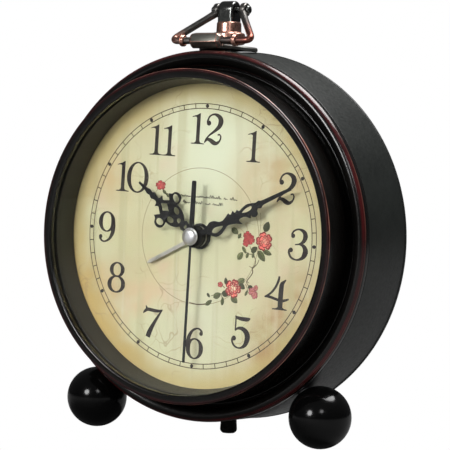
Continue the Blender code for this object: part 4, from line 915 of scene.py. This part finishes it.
def hub(radius, start):
    # the round middle of a hand, from the blade's lower root round to its upper root
    turns = [-start - (2 * pi - 2 * start) * k / 40 for k in range(41)]
    return [(radius * cos(a), radius * sin(a)) for a in turns]


def inMetres(loops):
    return [[(p[0] * mm, p[1] * mm) for p in loop] for loop in loops]


def handPiece(name, loops, front, thick, turn, finish, body, stands, slotName, boss, bevel=0.10):
    # loops in mm; boss is (bore, radius, length) of the bush behind the hand
    low, high = (front - thick / 2) * mm, (front + thick / 2) * mm
    plate = shift(cutPlate(inMetres(loops), low, high, bevel * mm, turn), atCentre)
    bore, radius, length = boss
    shoulder = max(radius - 0.5, bore + 0.2)
    ring = eased([(bore, front - thick / 2 - 0.12, 0.05), (shoulder, front - thick / 2 - 0.12, 0.1),
                  (radius, front + 0.1, 0.25), (radius, front + length, 0.2), (bore, front + length, 0.05)])
    boss = shift(lathe(ring, 64), atCentre)
    joined = bmesh.new()
    for part in (plate, boss):
        bmesh.ops.recalc_face_normals(part, faces=part.faces)
        if part.calc_volume(signed=True) < 0:
            bmesh.ops.reverse_faces(part, faces=part.faces)
        mesh = bpy.data.meshes.new("part")
        part.to_mesh(mesh)
        part.free()
        joined.from_mesh(mesh)
    place(name, joined, made[finish], body, [stands], slotName, closed=False)


def hourHand():
    half = curve([(3.4, 1.5), (4.5, 1.5), (5.9, 1.75), (5.9, 1.75), (6.7, 1.3), (7.7, 2.3), (7.7, 2.3),
                  (8.7, 2.9),
                  (10.4, 3.5), (12.3, 3.6), (12.3, 3.6), (12.0, 5.0), (12.5, 6.5), (13.9, 7.1), (15.4, 6.6),
                  (16.1, 5.3), (17.1, 4.7), (17.1, 4.7), (16.3, 3.9), (15.4, 3.0), (15.4, 3.0), (16.7, 2.0),
                  (17.7, 1.4), (18.8, 2.2), (18.8, 2.2), (19.1, 0.9), (20.2, 0.65), (21.8, 1.1), (22.7, 0.65),
                  (24.0, 0.85), (25.4, 0.5), (28.8, 0.28)], 5)
    edge = [(p.x, p.y) for p in half] + [(p.x, -p.y) for p in reversed(half)]
    lens = [oval(11.1, side * 1.95, 1.5, 1.05, side * 0.25) for side in (-1, 1)]
    rings = [oval(14.0, side * 5.1, 1.6, 1.2, side * 0.35) for side in (-1, 1)]
    kite = curve([(13.3, 0), (13.3, 0), (15.5, 1.6), (15.5, 1.6), (17.6, 0), (17.6, 0), (15.5, -1.6),
                  (15.5, -1.6)], 4, True)
    square = curve([(7.6, 0.75), (8.7, 0.8), (9.3, 0), (8.7, -0.8), (7.6, -0.75)], 5, True)
    gate = curve([(4.5, 0.55), (5.4, 0.7), (5.4, -0.7), (4.5, -0.55)], 5, True)
    loops = [edge + hub(3.5, 0.44), *lens, *rings, [(p.x, p.y) for p in kite], [(p.x, p.y) for p in square],
             [(p.x, p.y) for p in gate], oval(0, 0, 2.4, 2.4)]
    handPiece("hour_hand_lace", loops, -2.85, 0.5, clockTurn(hands["hour"] * 30), "handBlack", "hours",
              "hour_hand", "hand_black", (2.3, 3.75, 0.85), 0.05)


def minuteHand():
    top = curve([(3.6, 0.9), (5.2, 0.5), (6.4, 1.0), (8.0, 1.75), (9.7, 1.5), (11.2, 0.6), (12.6, 0.35),
                 (13.8, 0.75),
                 (15.7, 1.75), (15.7, 1.75), (16.3, 0.95), (17.5, 1.8), (17.5, 1.8), (18.1, 0.9), (19.2, 1.5),
                 (19.2, 1.5), (19.9, 0.85), (21.4, 1.35), (23.4, 1.75), (25.4, 1.35), (26.8, 0.95),
                 (28.0, 1.15),
                 (29.0, 0.75), (33.0, 0.62), (40.6, 0.45)], 5)
    foot = curve([(40.6, -0.45), (33.0, -0.62), (29.1, -0.72), (27.9, -1.35), (26.8, -0.95), (26.1, -1.6),
                  (25.9, -2.7), (24.8, -3.2), (23.8, -2.8), (23.5, -1.9), (22.9, -2.9), (22.9, -2.9),
                  (21.4, -1.75), (19.6, -1.45), (18.6, -1.9), (19.3, -3.5), (19.3, -3.5), (17.2, -2.5),
                  (15.2, -1.95), (13.8, -1.8), (12.4, -2.5), (10.6, -3.4), (8.4, -3.5), (6.6, -2.2),
                  (5.2, -1.3),
                  (3.6, -0.9)], 5)
    nearEye = curve([(7.4, -1.5), (8.6, -0.55), (10.6, -0.75), (12.3, -1.25), (10.8, -2.2), (8.8, -2.5)],
                    6, True)
    farEye = curve([(20.3, 0.0), (20.3, 0.0), (22.2, 0.75), (24.4, 0.8), (24.9, 0.2), (24.1, -0.45),
                    (22.2, -0.55)],
                   6, True)
    loops = [[(p.x, p.y) for p in top + foot][:-1] + hub(3.5, 0.26), [(p.x, p.y) for p in nearEye],
             [(p.x, p.y) for p in farEye], oval(0, 0, 1.6, 1.6)]
    handPiece("minute_hand_lace", loops, -4.25, 0.5, clockTurn(hands["minute"] * 6), "handBlack", "minutes",
              "minute_hand", "hand_black", (1.5, 3.75, 0.85), 0.05)


def secondHand():
    edge = [(2.4, 0.5), (4.0, 0.36), (41.9, 0.40), (42.3, 0.2), (42.3, -0.2), (41.9, -0.40), (4.0, -0.36),
            (2.4, -0.5)]
    arc = [(2.45 * cos(a), 2.45 * sin(a)) for a in [-0.3 - (pi - 0.66) * k / 16 for k in range(17)]]
    tail = [(-18.4, -0.75), (-18.65, -0.55), (-18.65, 0.55), (-18.4, 0.75)]
    loops = [edge + arc + tail + [(x, -z) for x, z in reversed(arc)], oval(0, 0, 0.7, 0.7, 0, 16)]
    handPiece("second_hand_blade", loops, -5.5, 0.36, clockTurn(hands["second"] * 6), "handBlack", "seconds",
              "second_hand", "hand_black", (0.7, 2.3, 0.55), 0.06)


def alarmHand():
    edge = [(3.4, 0.62), (20.6, 0.55), (21.9, 0.08), (21.9, -0.08), (20.6, -0.55), (3.4, -0.62)]
    loops = [edge + hub(3.5, 0.18), oval(0, 0, 3.1, 3.1)]
    handPiece("alarm_hand_strip", loops, -1.45, 0.36, clockTurn(hands["alarm"] * 30), "alarmSilver",
              "alarm_time",
              "alarm_hand", "hand_silver", (3.1, 3.6, 0.5), 0.06)


def handCap():
    outline = eased([(0.7, -6.1, 0.05), (2.95, -6.1, 0.1), (3.0, -6.35, 0.12), (2.75, -6.5, 0.08),
                     (2.6, -6.55, 0.1), (2.35, -7.0, 0.5), (1.5, -7.35, 0.6), (0, -7.45, 0), (0, -6.85, 0),
                     (0.7, -6.85, 0)])
    place("hand_cap", shift(lathe(outline, 72), atCentre), made["capSilver"], "seconds", ["second_hand_cap"],
          "hand_silver")


hourHand()
minuteHand()
secondHand()
alarmHand()
handCap()
print("hands made")

# what is printed on the dial, drawn as thin ink just above the paper; all positions in mm from the middle
inkTones = dict(numeral=(0.011, 0.005, 0.005), track=(0.060, 0.040, 0.018), ring=(0.22, 0.17, 0.09),
                crimson=(0.40, 0.035, 0.045), deep=(0.20, 0.018, 0.022), coral=(0.58, 0.105, 0.090),
                blush=(0.70, 0.26, 0.19), cream=(0.76, 0.48, 0.32), lilac=(0.38, 0.13, 0.17),
                leaf=(0.105, 0.125, 0.045), moss=(0.18, 0.20, 0.075), shade=(0.045, 0.050, 0.022),
                bark=(0.10, 0.070, 0.035))


def newInk():
    bm = bmesh.new()
    return bm, bm.loops.layers.float_color.new("tint")


def fill(ink, points, tone, lift=0.0):
    # one flat patch of ink, facing out of the dial
    bm, layer = ink
    area = sum(a[0] * b[1] - b[0] * a[1] for a, b in zip(points, points[1:] + points[:1]))
    ordered = points if area > 0 else points[::-1]
    face = bm.faces.new([bm.verts.new((p[0] * mm, -(0.02 + lift) * mm, p[1] * mm)) for p in ordered])
    for corner in face.loops:
        corner[layer] = (*inkTones.get(tone, tone), 1) if isinstance(tone, str) else (*tone, 1)


def stroke(ink, line, tone, lift=0.0):
    # a pen line whose points are (across, up, half width)
    sides = []
    for i, p in enumerate(line):
        ahead = line[min(i + 1, len(line) - 1)] - line[max(i - 1, 0)]
        across = Vector((-ahead.y, ahead.x)).normalized() * p[2]
        sides.append(((p[0] + across.x, p[1] + across.y), (p[0] - across.x, p[1] - across.y)))
    for (a, b), (c, d) in zip(sides, sides[1:]):
        fill(ink, [a, c, d, b], tone, lift)


def pen(ink, points, tone, lift=0.0, steps=6):
    stroke(ink, curve(points, steps), tone, lift)


def bowl(x, z, wide, high, thick, thin, start=0, end=360):
    # an oval stroke that is thick at its sides and thin at its top and foot; angles run counter-clockwise
    points = []
    for k in range(49):
        a = radians(start + (end - start) * k / 48)
        half = thin + (thick - thin) * abs(cos(a)) ** 1.6
        points.append(Vector((x + (wide - half) * cos(a), z + (high - half) * sin(a), half)))
    return points


# each digit has its width, pen strokes, round ends and plain strokes, drawn from its lower left corner
digits = {
    "0": dict(wide=8.7, bowls=[(4.35, 5.15, 4.35, 5.25, 0.78, 0.18)]),
    "1": dict(wide=5.2, outline=[(0, 0), (0, 0.3), (1.2, 0.42), (1.75, 0.75), (1.9, 1.4), (1.9, 8.7),
                                 (1.65, 9.1),
                                 (1.0, 9.15), (0.1, 8.95), (0.1, 9.25), (2.0, 9.85), (3.0, 10.4), (3.3, 10.4),
                                 (3.3, 1.4), (3.45, 0.75), (4.0, 0.42), (5.2, 0.3), (5.2, 0)]),
    "2": dict(wide=7.0, dots=[(1.6, 7.25, 0.85)], pens=[
        [(1.0, 7.4, 0.3), (1.2, 8.4, 0.26), (1.9, 9.6, 0.24), (3.3, 10.25, 0.26), (4.8, 9.95, 0.52),
         (5.95, 9.0, 0.8), (6.2, 7.7, 0.88), (5.6, 6.2, 0.7), (4.0, 4.7, 0.42), (2.0, 3.2, 0.24),
         (0.75, 1.8, 0.2), (0.25, 0.55, 0.16)],
        [(0.25, 0.75, 0.15), (1.2, 1.75, 0.4), (2.4, 1.6, 0.6), (3.8, 0.8, 0.72), (5.0, 0.65, 0.5),
         (6.1, 1.5, 0.28), (6.5, 2.8, 0.22), (6.0, 3.6, 0.18), (5.2, 3.4, 0.2)]]),
    "3": dict(wide=7.8, dots=[(1.95, 8.0, 0.75), (1.4, 3.3, 0.8)], pens=[
        [(1.35, 8.3, 0.25), (2.2, 9.6, 0.25), (4.0, 10.25, 0.24), (5.9, 9.55, 0.6), (6.55, 8.1, 0.8),
         (6.0, 6.5, 0.6), (4.6, 5.5, 0.25), (2.8, 5.15, 0.14)],
        [(4.2, 5.45, 0.18), (5.8, 5.0, 0.5), (6.8, 3.6, 0.85), (6.6, 2.1, 0.85), (5.6, 0.85, 0.5),
         (3.7, 0.2, 0.22), (1.7, 0.8, 0.3), (0.75, 2.3, 0.35), (0.95, 3.4, 0.45)]]),
    "4": dict(wide=9.6, pens=[
        [(5.4, 11.1, 0.3), (5.2, 9.8, 0.36), (4.3, 7.6, 0.36), (2.6, 5.4, 0.3), (0.4, 3.95, 0.2)],
        [(0.2, 3.95, 0.15), (2.0, 4.05, 0.38), (4.6, 3.45, 0.38), (6.8, 3.1, 0.42), (8.2, 3.4, 0.36),
         (9.4, 3.85, 0.2)],
        [(8.0, 10.1, 0.1), (7.0, 9.1, 0.5), (6.45, 8.0, 0.78), (6.3, 4.0, 0.85), (6.3, 0.5, 0.85)]],
        outline=[(3.3, 0), (3.3, 0.35), (4.7, 0.5), (5.45, 0.95), (7.15, 0.95), (7.8, 0.5), (8.9, 0.35),
                 (8.9, 0)]),
    "5": dict(wide=7.6, dots=[(1.25, 3.35, 0.85)], pens=[
        [(1.4, 10.95, 0.08), (2.1, 10.3, 0.45), (4.4, 10.0, 0.62), (6.2, 10.05, 0.58), (7.1, 10.5, 0.12)],
        [(1.6, 10.8, 0.16), (1.68, 8.3, 0.2), (1.6, 5.95, 0.16)],
        [(1.5, 5.9, 0.12), (2.6, 6.75, 0.36), (4.3, 6.75, 0.62), (5.9, 5.6, 0.86), (6.4, 3.7, 0.92),
         (5.5, 1.3, 0.6), (3.6, 0.25, 0.22), (1.7, 0.75, 0.26), (0.65, 2.2, 0.28), (0.75, 3.4, 0.4)]]),
    "6": dict(wide=6.8, dots=[(5.75, 8.75, 0.72)], bowls=[(3.45, 3.5, 3.35, 3.5, 0.78, 0.18)], pens=[
        [(6.1, 9.1, 0.4), (5.2, 10.15, 0.26), (3.9, 10.35, 0.24), (2.2, 9.4, 0.4), (1.0, 7.3, 0.66),
         (0.72, 5.2, 0.76), (0.85, 3.6, 0.76)]]),
    "7": dict(wide=8.0, pens=[
        [(0.15, 8.2, 0.1), (0.9, 9.0, 0.42), (2.0, 9.6, 0.52), (4.5, 9.4, 0.52), (6.6, 9.4, 0.38),
         (7.9, 9.95, 0.1)],
        [(1.1, 10.9, 0.06), (1.4, 10.2, 0.3), (1.7, 9.6, 0.4)],
        [(7.7, 9.8, 0.15), (6.3, 7.7, 0.36), (4.6, 4.9, 0.58), (3.2, 2.2, 0.82), (2.5, 0.2, 0.86)]]),
    "8": dict(wide=7.4, bowls=[(3.75, 7.85, 3.0, 2.55, 0.72, 0.2), (3.7, 2.85, 3.6, 2.95, 0.78, 0.2)]),
}
numerals = {   # how far out, and how far round from its hour, in mm and degrees
    "12": (36.1, 0.6), "1": (36.6, 1.2), "2": (37.0, 0.5), "3": (37.8, -0.4), "4": (35.2, -2.0),
    "5": (35.9, -0.7),
    "6": (36.2, -1.0), "7": (35.1, -1.5), "8": (36.4, 2.7), "9": (37.6, 0.5), "10": (33.6, 2.8),
    "11": (35.6, 2.0),
}
pairGap = {"10": 6.0 - 4.35, "11": 5.2 - 2.6, "12": 6.0 - 3.5}   # from the 1's stem to the next digit's left


def drawDigit(ink, digit, left, foot, weight=0.07):
    upsideDown = digit == "9"
    shapes = digits["6" if upsideDown else digit]

    def put(p):
        x, z = (shapes["wide"] - p[0], 10.5 - p[1]) if upsideDown else (p[0], p[1])
        return Vector((x + left, z + foot, *[half + weight for half in p[2:]]))

    for n, points in enumerate(shapes.get("pens", [])):
        stroke(ink, [put(p) for p in curve(points, 6)], "numeral", 0.004 * n)
    for n, values in enumerate(shapes.get("bowls", [])):
        stroke(ink, [put(p) for p in bowl(*values)], "numeral", 0.012 + 0.004 * n)
    for x, z, radius in shapes.get("dots", []):
        fill(ink, [tuple(put(p)) for p in oval(x, z, radius, radius, 0, 20)], "numeral", 0.02)
    if "outline" in shapes:
        fill(ink, [tuple(put(p)) for p in shapes["outline"]], "numeral", 0.016)


def drawNumerals(ink):
    for label, (out, swing) in numerals.items():
        a = radians(90 - int(label) * 30 - swing)
        x, z = out * cos(a), out * sin(a) - 5.2
        if len(label) == 1:
            drawDigit(ink, label, x - digits.get(label, digits["6"])["wide"] / 2, z)
            continue
        second = label[1]
        total = 2.6 + pairGap[label] + digits[second]["wide"]
        left = x - total / 2
        drawDigit(ink, "1", left, z)
        drawDigit(ink, second, left + 2.6 + pairGap[label], z)


def drawTrack(ink):
    for radius, half, tone in ((44.6, 0.15, "track"), (43.0, 0.15, "track"), (23.0, 0.085, "ring")):
        circle = [Vector((radius * cos(a), radius * sin(a), half))
                  for a in [2 * pi * k / 180 for k in range(181)]]
        stroke(ink, circle, tone)
    for minute in range(60):
        a = radians(6 * minute)
        if minute % 5:
            out = Vector((cos(a), sin(a), 0))
            stroke(ink, [out * 43.0 + Vector((0, 0, 0.16)), out * 44.6 + Vector((0, 0, 0.16))], "track", 0.01)
        else:
            fill(ink, oval(43.85 * cos(a), 43.85 * sin(a), 0.68, 0.62, a, 14), "numeral", 0.01)


def drawLeaf(ink, x, z, length, width, angle, tone="leaf", lift=0.02):
    # a pointed leaf about its middle, darker on one side of its vein
    a = radians(angle)

    def put(u, v):
        return (x + u * cos(a) - v * sin(a), z + u * sin(a) + v * cos(a))

    spine = [k / 8 - 0.5 for k in range(9)]
    edge = [0.5 * width * (1 - (2 * k) ** 2) ** 0.75 * (1 - 0.35 * k) for k in spine]
    upper = [put(k * length, w) for k, w in zip(spine, edge)]
    lower = [put(k * length, -w) for k, w in zip(spine, edge)]
    vein = [put(k * length, 0) for k in spine]
    dark = inkTones["shade"]
    pale = inkTones[tone]
    fill(ink, upper + vein[-2:0:-1], pale, lift)
    fill(ink, lower + vein[-2:0:-1], tuple(0.55 * p + 0.45 * d for p, d in zip(pale, dark)), lift)
    stroke(ink, [Vector((*p, 0.09)) for p in vein], "shade", lift + 0.008)
    for k in (2, 4, 6):
        for side in (1, -1):
            tip = put((spine[k] + 0.12) * length, side * edge[k] * 0.8)
            stroke(ink, [Vector((*vein[k], 0.05)), Vector((*tip, 0.04))], "shade", lift + 0.006)
    rim = [Vector((*p, 0.06)) for p in upper + lower[::-1]]
    stroke(ink, rim, "shade", lift + 0.01)


def petal(x, z, reach, spreadOut, angle):
    # a broad petal from (x, z), with a slightly wavy outer edge
    a = radians(angle)
    outline = [(0, 0.1), (0.35, 0.36), (0.75, 0.5), (0.97, 0.32), (0.93, 0.08), (1.0, -0.12), (0.95, -0.36),
               (0.7, -0.5), (0.35, -0.36), (0, -0.1)]
    points = [(u * reach, v * spreadOut) for u, v in outline]
    return [(x + u * cos(a) - v * sin(a), z + u * sin(a) + v * cos(a)) for u, v in points]


def drawRose(ink, x, z, wide, high, tones, tilt=0.0, lift=0.04):
    # petals in rings from the outside in, each on a dark edge and streaked paler, with a curled heart
    dark, outer, middle, pale = tones
    rings = ((5, 0.50, 0.44, outer, 0), (5, 0.34, 0.30, middle, 33), (3, 0.20, 0.22, pale, 50))
    level = lift

    def put(points, size=1.0):
        return [(x + u * wide / 2 * size, z + v * high / 2 * size) for u, v in points]

    for count, reach, broad, tone, start in rings:
        for k in range(count):
            a = tilt + start + 360 * k / count
            worn = 0.62 + 0.3 * ((k * 2 + count) % 4)
            colour = tuple(min(0.9, c * worn) for c in inkTones[tone])
            fill(ink, put(petal(0, 0, 2 * reach, 2 * broad, a)), dark, level)
            fill(ink, put(petal(0, 0, 2 * reach, 2 * broad, a), 0.84), colour, level + 0.001)
            for swing in (-16, 14):
                tip = radians(a + swing)
                ends = put([(0.75 * reach * cos(tip), 0.75 * reach * sin(tip)),
                            (1.55 * reach * cos(tip), 1.55 * reach * sin(tip))])
                stroke(ink, [Vector((*ends[0], 0.05)), Vector((*ends[1], 0.13))], pale, level + 0.002)
            level += 0.003
    curl = [Vector((x + 0.13 * wide * (1 - t) * cos(9 * t + 1), z + 0.13 * high * (1 - t) * sin(9 * t + 1),
                    0.08))
            for t in [k / 16 for k in range(15)]]
    stroke(ink, curl, dark, level + 0.004)


roseTones = dict(left=("deep", "crimson", "crimson", "coral"), right=("deep", "coral", "coral", "blush"),
                 low=("deep", "coral", "crimson", "cream"), small=("deep", "crimson", "coral", "coral"),
                 lilac=("deep", "lilac", "lilac", "blush"))
leaves = [   # middle, length, width, angle, tone
    (25.7, 5.2, 3.6, 2.4, 70, "shade"), (13.7, 2.9, 3.0, 2.0, -30, "leaf"), (15.6, 1.4, 2.0, 1.1, 60, "leaf"),
    (17.7, -3.1, 2.7, 1.1, -55, "moss"), (16.3, -5.2, 3.1, 1.9, 55, "moss"),
    (19.0, -4.8, 2.0, 1.0, 75, "moss"),
    (21.5, -2.7, 2.8, 1.9, 40, "shade"), (24.4, -4.6, 4.3, 2.2, -50, "leaf"),
    (26.5, -3.3, 3.6, 1.6, -18, "leaf"),
    (21.2, -4.6, 1.8, 0.9, 80, "moss"), (11.4, -14.1, 2.4, 1.3, 100, "shade"),
    (17.2, -13.6, 3.2, 2.1, 35, "moss"),
    (17.7, -15.3, 2.6, 1.8, -30, "shade"), (11.5, -18.3, 2.8, 2.1, -10, "shade"),
    (15.0, -19.9, 3.2, 2.1, -40, "leaf"),
    (8.3, -19.2, 3.1, 2.0, 28, "leaf"), (10.5, -20.9, 2.8, 1.2, 88, "leaf"),
    (4.9, -19.4, 1.7, 0.9, -50, "shade"),
    (5.2, -21.9, 3.0, 1.4, 38, "leaf"), (19.5, -17.3, 2.2, 0.8, 65, "moss"),
    (20.8, -15.2, 1.8, 1.2, 20, "shade"),
    (-14.9, 13.9, 2.0, 1.0, -40, "leaf"), (-13.6, 12.9, 1.6, 0.8, -60, "moss"),
]
twigs = [
    [(21.4, -4.4, 0.16), (22.3, -6.4, 0.14), (22.0, -8.0, 0.16), (21.2, -8.9, 0.22), (21.4, -10.4, 0.2),
     (20.4, -12.0, 0.17), (19.4, -13.4, 0.17), (19.7, -14.4, 0.13), (20.9, -15.4, 0.12)],
    [(23.6, -5.8, 0.13), (22.9, -7.4, 0.13), (21.4, -8.9, 0.16)], [(21.2, -8.9, 0.15), (20.0, -8.3, 0.08)],
    [(19.4, -13.4, 0.15), (20.4, -14.0, 0.07)],
    [(19.0, -14.4, 0.12), (19.8, -16.0, 0.1), (19.6, -17.6, 0.08)],
    [(18.2, -3.6, 0.1), (19.6, -4.3, 0.13), (21.2, -4.2, 0.15)], [(20.9, -3.9, 0.14), (19.7, -1.6, 0.1)],
    [(14.6, 2.1, 0.1), (15.6, 1.2, 0.1), (16.6, 0.9, 0.08)],
    [(23.0, 9.6, 0.05), (23.4, 6.4, 0.06), (23.2, 3.2, 0.05)],
    [(6.0, -19.5, 0.1), (8.0, -18.8, 0.12), (10.2, -18.4, 0.13)], [(9.9, -18.6, 0.12), (10.5, -20.6, 0.09)],
    [(-2.6, -22.5, 0.14), (0.6, -22.9, 0.2), (3.6, -22.5, 0.2), (5.2, -21.8, 0.14)],
    [(10.0, -15.6, 0.14), (11.2, -16.4, 0.12)],
    [(-15.4, 15.0, 0.1), (-14.4, 13.2, 0.09), (-13.2, 12.4, 0.07)],
]


def drawFlowers(ink):
    for points in twigs:
        pen(ink, points, "bark", 0.012)
    for x, z, length, width, angle, tone in leaves:
        drawLeaf(ink, x, z, length, width, angle, tone, 0.02 + 0.0001 * abs(x))
    drawRose(ink, 18.6, 1.5, 3.4, 3.6, roseTones["left"], 20, 0.034)
    drawRose(ink, 19.9, 0.5, 3.4, 3.4, roseTones["left"], 60, 0.066)
    drawRose(ink, 18.3, -0.6, 2.8, 3.0, roseTones["left"], 0, 0.098)
    drawRose(ink, 25.1, 0.3, 6.4, 6.5, roseTones["right"], 35, 0.04)
    drawRose(ink, 14.3, -16.3, 6.3, 6.5, roseTones["low"], 70, 0.04)
    drawRose(ink, 9.3, -15.4, 2.2, 2.0, roseTones["small"], 10, 0.04)
    drawRose(ink, 21.7, -16.6, 3.0, 3.0, roseTones["lilac"], 0, 0.034)
    drawRose(ink, 22.7, -17.7, 2.6, 2.8, roseTones["lilac"], 40, 0.066)
    drawRose(ink, 23.1, -15.3, 1.7, 2.0, roseTones["lilac"], 15, 0.098)
    drawRose(ink, -16.6, 16.1, 4.2, 3.4, roseTones["small"], 30, 0.04)


def drawFlourish(ink):
    # two fine rows of pen waves above the middle
    random.seed(7)
    for start, end, height in ((-8.5, 13.9, 13.4), (-7.3, 8.1, 11.2)):
        points, x = [], start
        while x < end:
            rise = random.choice((0.15, 0.3, 0.5, 0.95))
            points += [(x, height - 0.35, 0.15), (x + 0.34, height - 0.3 + rise, 0.1)]
            x += random.uniform(0.62, 0.95)
            if random.random() < 0.18:
                points.append((x, height - 0.4, 0.05))
                pen(ink, points, "numeral", 0.012, 4)
                points = []
                x += 0.8
        if len(points) > 1:
            pen(ink, points, "numeral", 0.012, 4)


def dialPrint():
    for name, draw in (("dial_numerals", drawNumerals), ("dial_track", drawTrack),
                       ("dial_flowers", drawFlowers),
                       ("dial_flourish", drawFlourish)):
        ink = newInk()
        draw(ink)
        bm = shift(ink[0], atCentre @ Matrix.Rotation(radians(hands["twist"]), 4, "Y"))
        for face in bm.faces:
            face.normal_update()
            if face.normal.y > 0:
                face.normal_flip()
        place(name, bm, made["printedInk"], "case", (), "dial_print", smooth=0, closed=False)


dialPrint()
print("dial printed")

# back
back = dict(grooves=(43.47, 57.0), soundHole=0.75, soundAt=(17.0, 16.8), soundPitch=2.4, face=26.9)


def refined(nodeName, pieceName, finish, body, slotName, width, tools=()):
    # a CAD part's own shape with its edges rounded, and further cuts
    bm = bmesh.new()
    bm.from_mesh(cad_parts[nodeName].data)
    bmesh.ops.remove_doubles(bm, verts=bm.verts, dist=2e-6)
    bmesh.ops.dissolve_limit(bm, angle_limit=radians(1), verts=bm.verts, edges=bm.edges)
    piece = place(pieceName, bm, made[finish], body, [nodeName], slotName)
    for tool in tools:
        shape(piece, tool)
    if width:
        soften(piece, width * mm, 2, 40)
    return piece


def crossSlot(x, y, z, width=0.55, length=2.6, depth=0.9):
    # the two cuts of a cross-head screw, looking along the y axis
    bars = []
    for wide, high in ((length, width), (width, length)):
        low = Vector((x - wide / 2, y - depth, z - high / 2)) * mm
        bars.append(block(low, low + Vector((wide, depth + 1, high)) * mm))
    return [shift(bar, atCentre) for bar in bars]


def peg(x, z, radius, start, end, steps=24):
    outline = eased([(0, start, 0), (radius, start, 0), (radius, end, 0), (0, end, 0)])
    return shift(lathe(outline, steps), atCentre @ Matrix.Translation(Vector((x, 0, z)) * mm))


def backCover():
    grooves = []
    for radius in back["grooves"]:
        ring = eased([(radius, 26.25, 0), (radius + 0.7, 26.25, 0), (radius + 0.7, 27.5, 0),
                      (radius, 27.5, 0)])
        grooves.append(shift(lathe(ring, 128), atCentre))
    refined("back_cover", "back_panel", "backPlastic", "case", "black_plastic", 0.0, grooves)
    for k, angle in enumerate((90, 210, 330), 1):
        x, z = 50 * cos(radians(angle)), 50 * sin(radians(angle))
        top = (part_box(f"back_cover_screw_{k}")[1].y - centre.y) / mm
        refined(f"back_cover_screw_{k}", f"panel_screw_{k}", "steel", "case", "steel", 0.12,
                crossSlot(x, top, z))


def movementCover():
    x, z = back["soundAt"]
    holes = [peg(x, z, back["soundHole"], 24, 28)]
    for k in range(6):
        a = radians(60 * k + 30)
        holes.append(peg(x + back["soundPitch"] * cos(a), z + back["soundPitch"] * sin(a),
                         back["soundHole"], 24, 28))
    refined("movement_cover", "movement_case", "backPlastic", "case", "black_plastic", 0.25, holes)


def turnArrow(name, x, z, radius, start, end):
    # a raised curved arrow beside a knob
    inner, outer = radius - 0.35, radius + 0.35
    turns = [radians(start + (end - start) * k / 20) for k in range(21)]
    way = 1 if end > start else -1
    tip = turns[-1] + way * 0.24
    head = [((radius + 1.1) * cos(turns[-1]), (radius + 1.1) * sin(turns[-1])),
            (radius * cos(tip), radius * sin(tip)),
            ((radius - 1.1) * cos(turns[-1]), (radius - 1.1) * sin(turns[-1]))]
    loop = [(outer * cos(a), outer * sin(a)) for a in turns] + head
    loop += [(inner * cos(a), inner * sin(a)) for a in reversed(turns)]
    level = back["face"]
    bm = cutPlate(inMetres([[(x + u, z + v) for u, v in loop]]), (level - 0.1) * mm, (level + 0.12) * mm,
                  0.04 * mm)
    place(name, shift(bm, atCentre), made["backPlastic"], "case", (), "black_plastic")


def knob(nodeName, pieceName, body):
    refined(nodeName, pieceName, "knobPlastic", body, "black_plastic", 0.14)


def batteryDoor():
    low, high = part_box("battery_door")
    door = refined("battery_door", "battery_hatch", "backPlastic", "battery_door", "black_plastic", 0.2)
    x = low.x + 5 * mm
    for k in range(5):
        z = (low.z + high.z) / 2
        groove = block((x + k * 1.6 * mm, high.y - 0.45 * mm, z - 4 * mm),
                       (x + (k * 1.6 + 0.8) * mm, high.y + mm, z + 4 * mm))
        shape(door, groove)


def alarmSwitch():
    low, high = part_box("alarm_switch")
    lever = refined("alarm_switch", "alarm_lever", "whitePlastic", "alarm_switch", "white_plastic", 0.12)
    middle = (low.x + high.x) / 2
    for k in (-1, 0, 1):
        x = middle + k * 1.1 * mm
        shape(lever, block((x - 0.25 * mm, high.y - 0.35 * mm, low.z - mm),
                           (x + 0.25 * mm, high.y + mm, high.z + mm)))


backCover()
movementCover()
turnArrow("time_arrow", 16.477, -3.57, 7.4, 20, 110)
turnArrow("alarm_arrow", -5.506, 7.864, 7.4, 70, 160)
knob("time_knob", "time_turner", "time_setting")
knob("alarm_knob", "alarm_turner", "alarm_setting")
batteryDoor()
alarmSwitch()
print("back made")
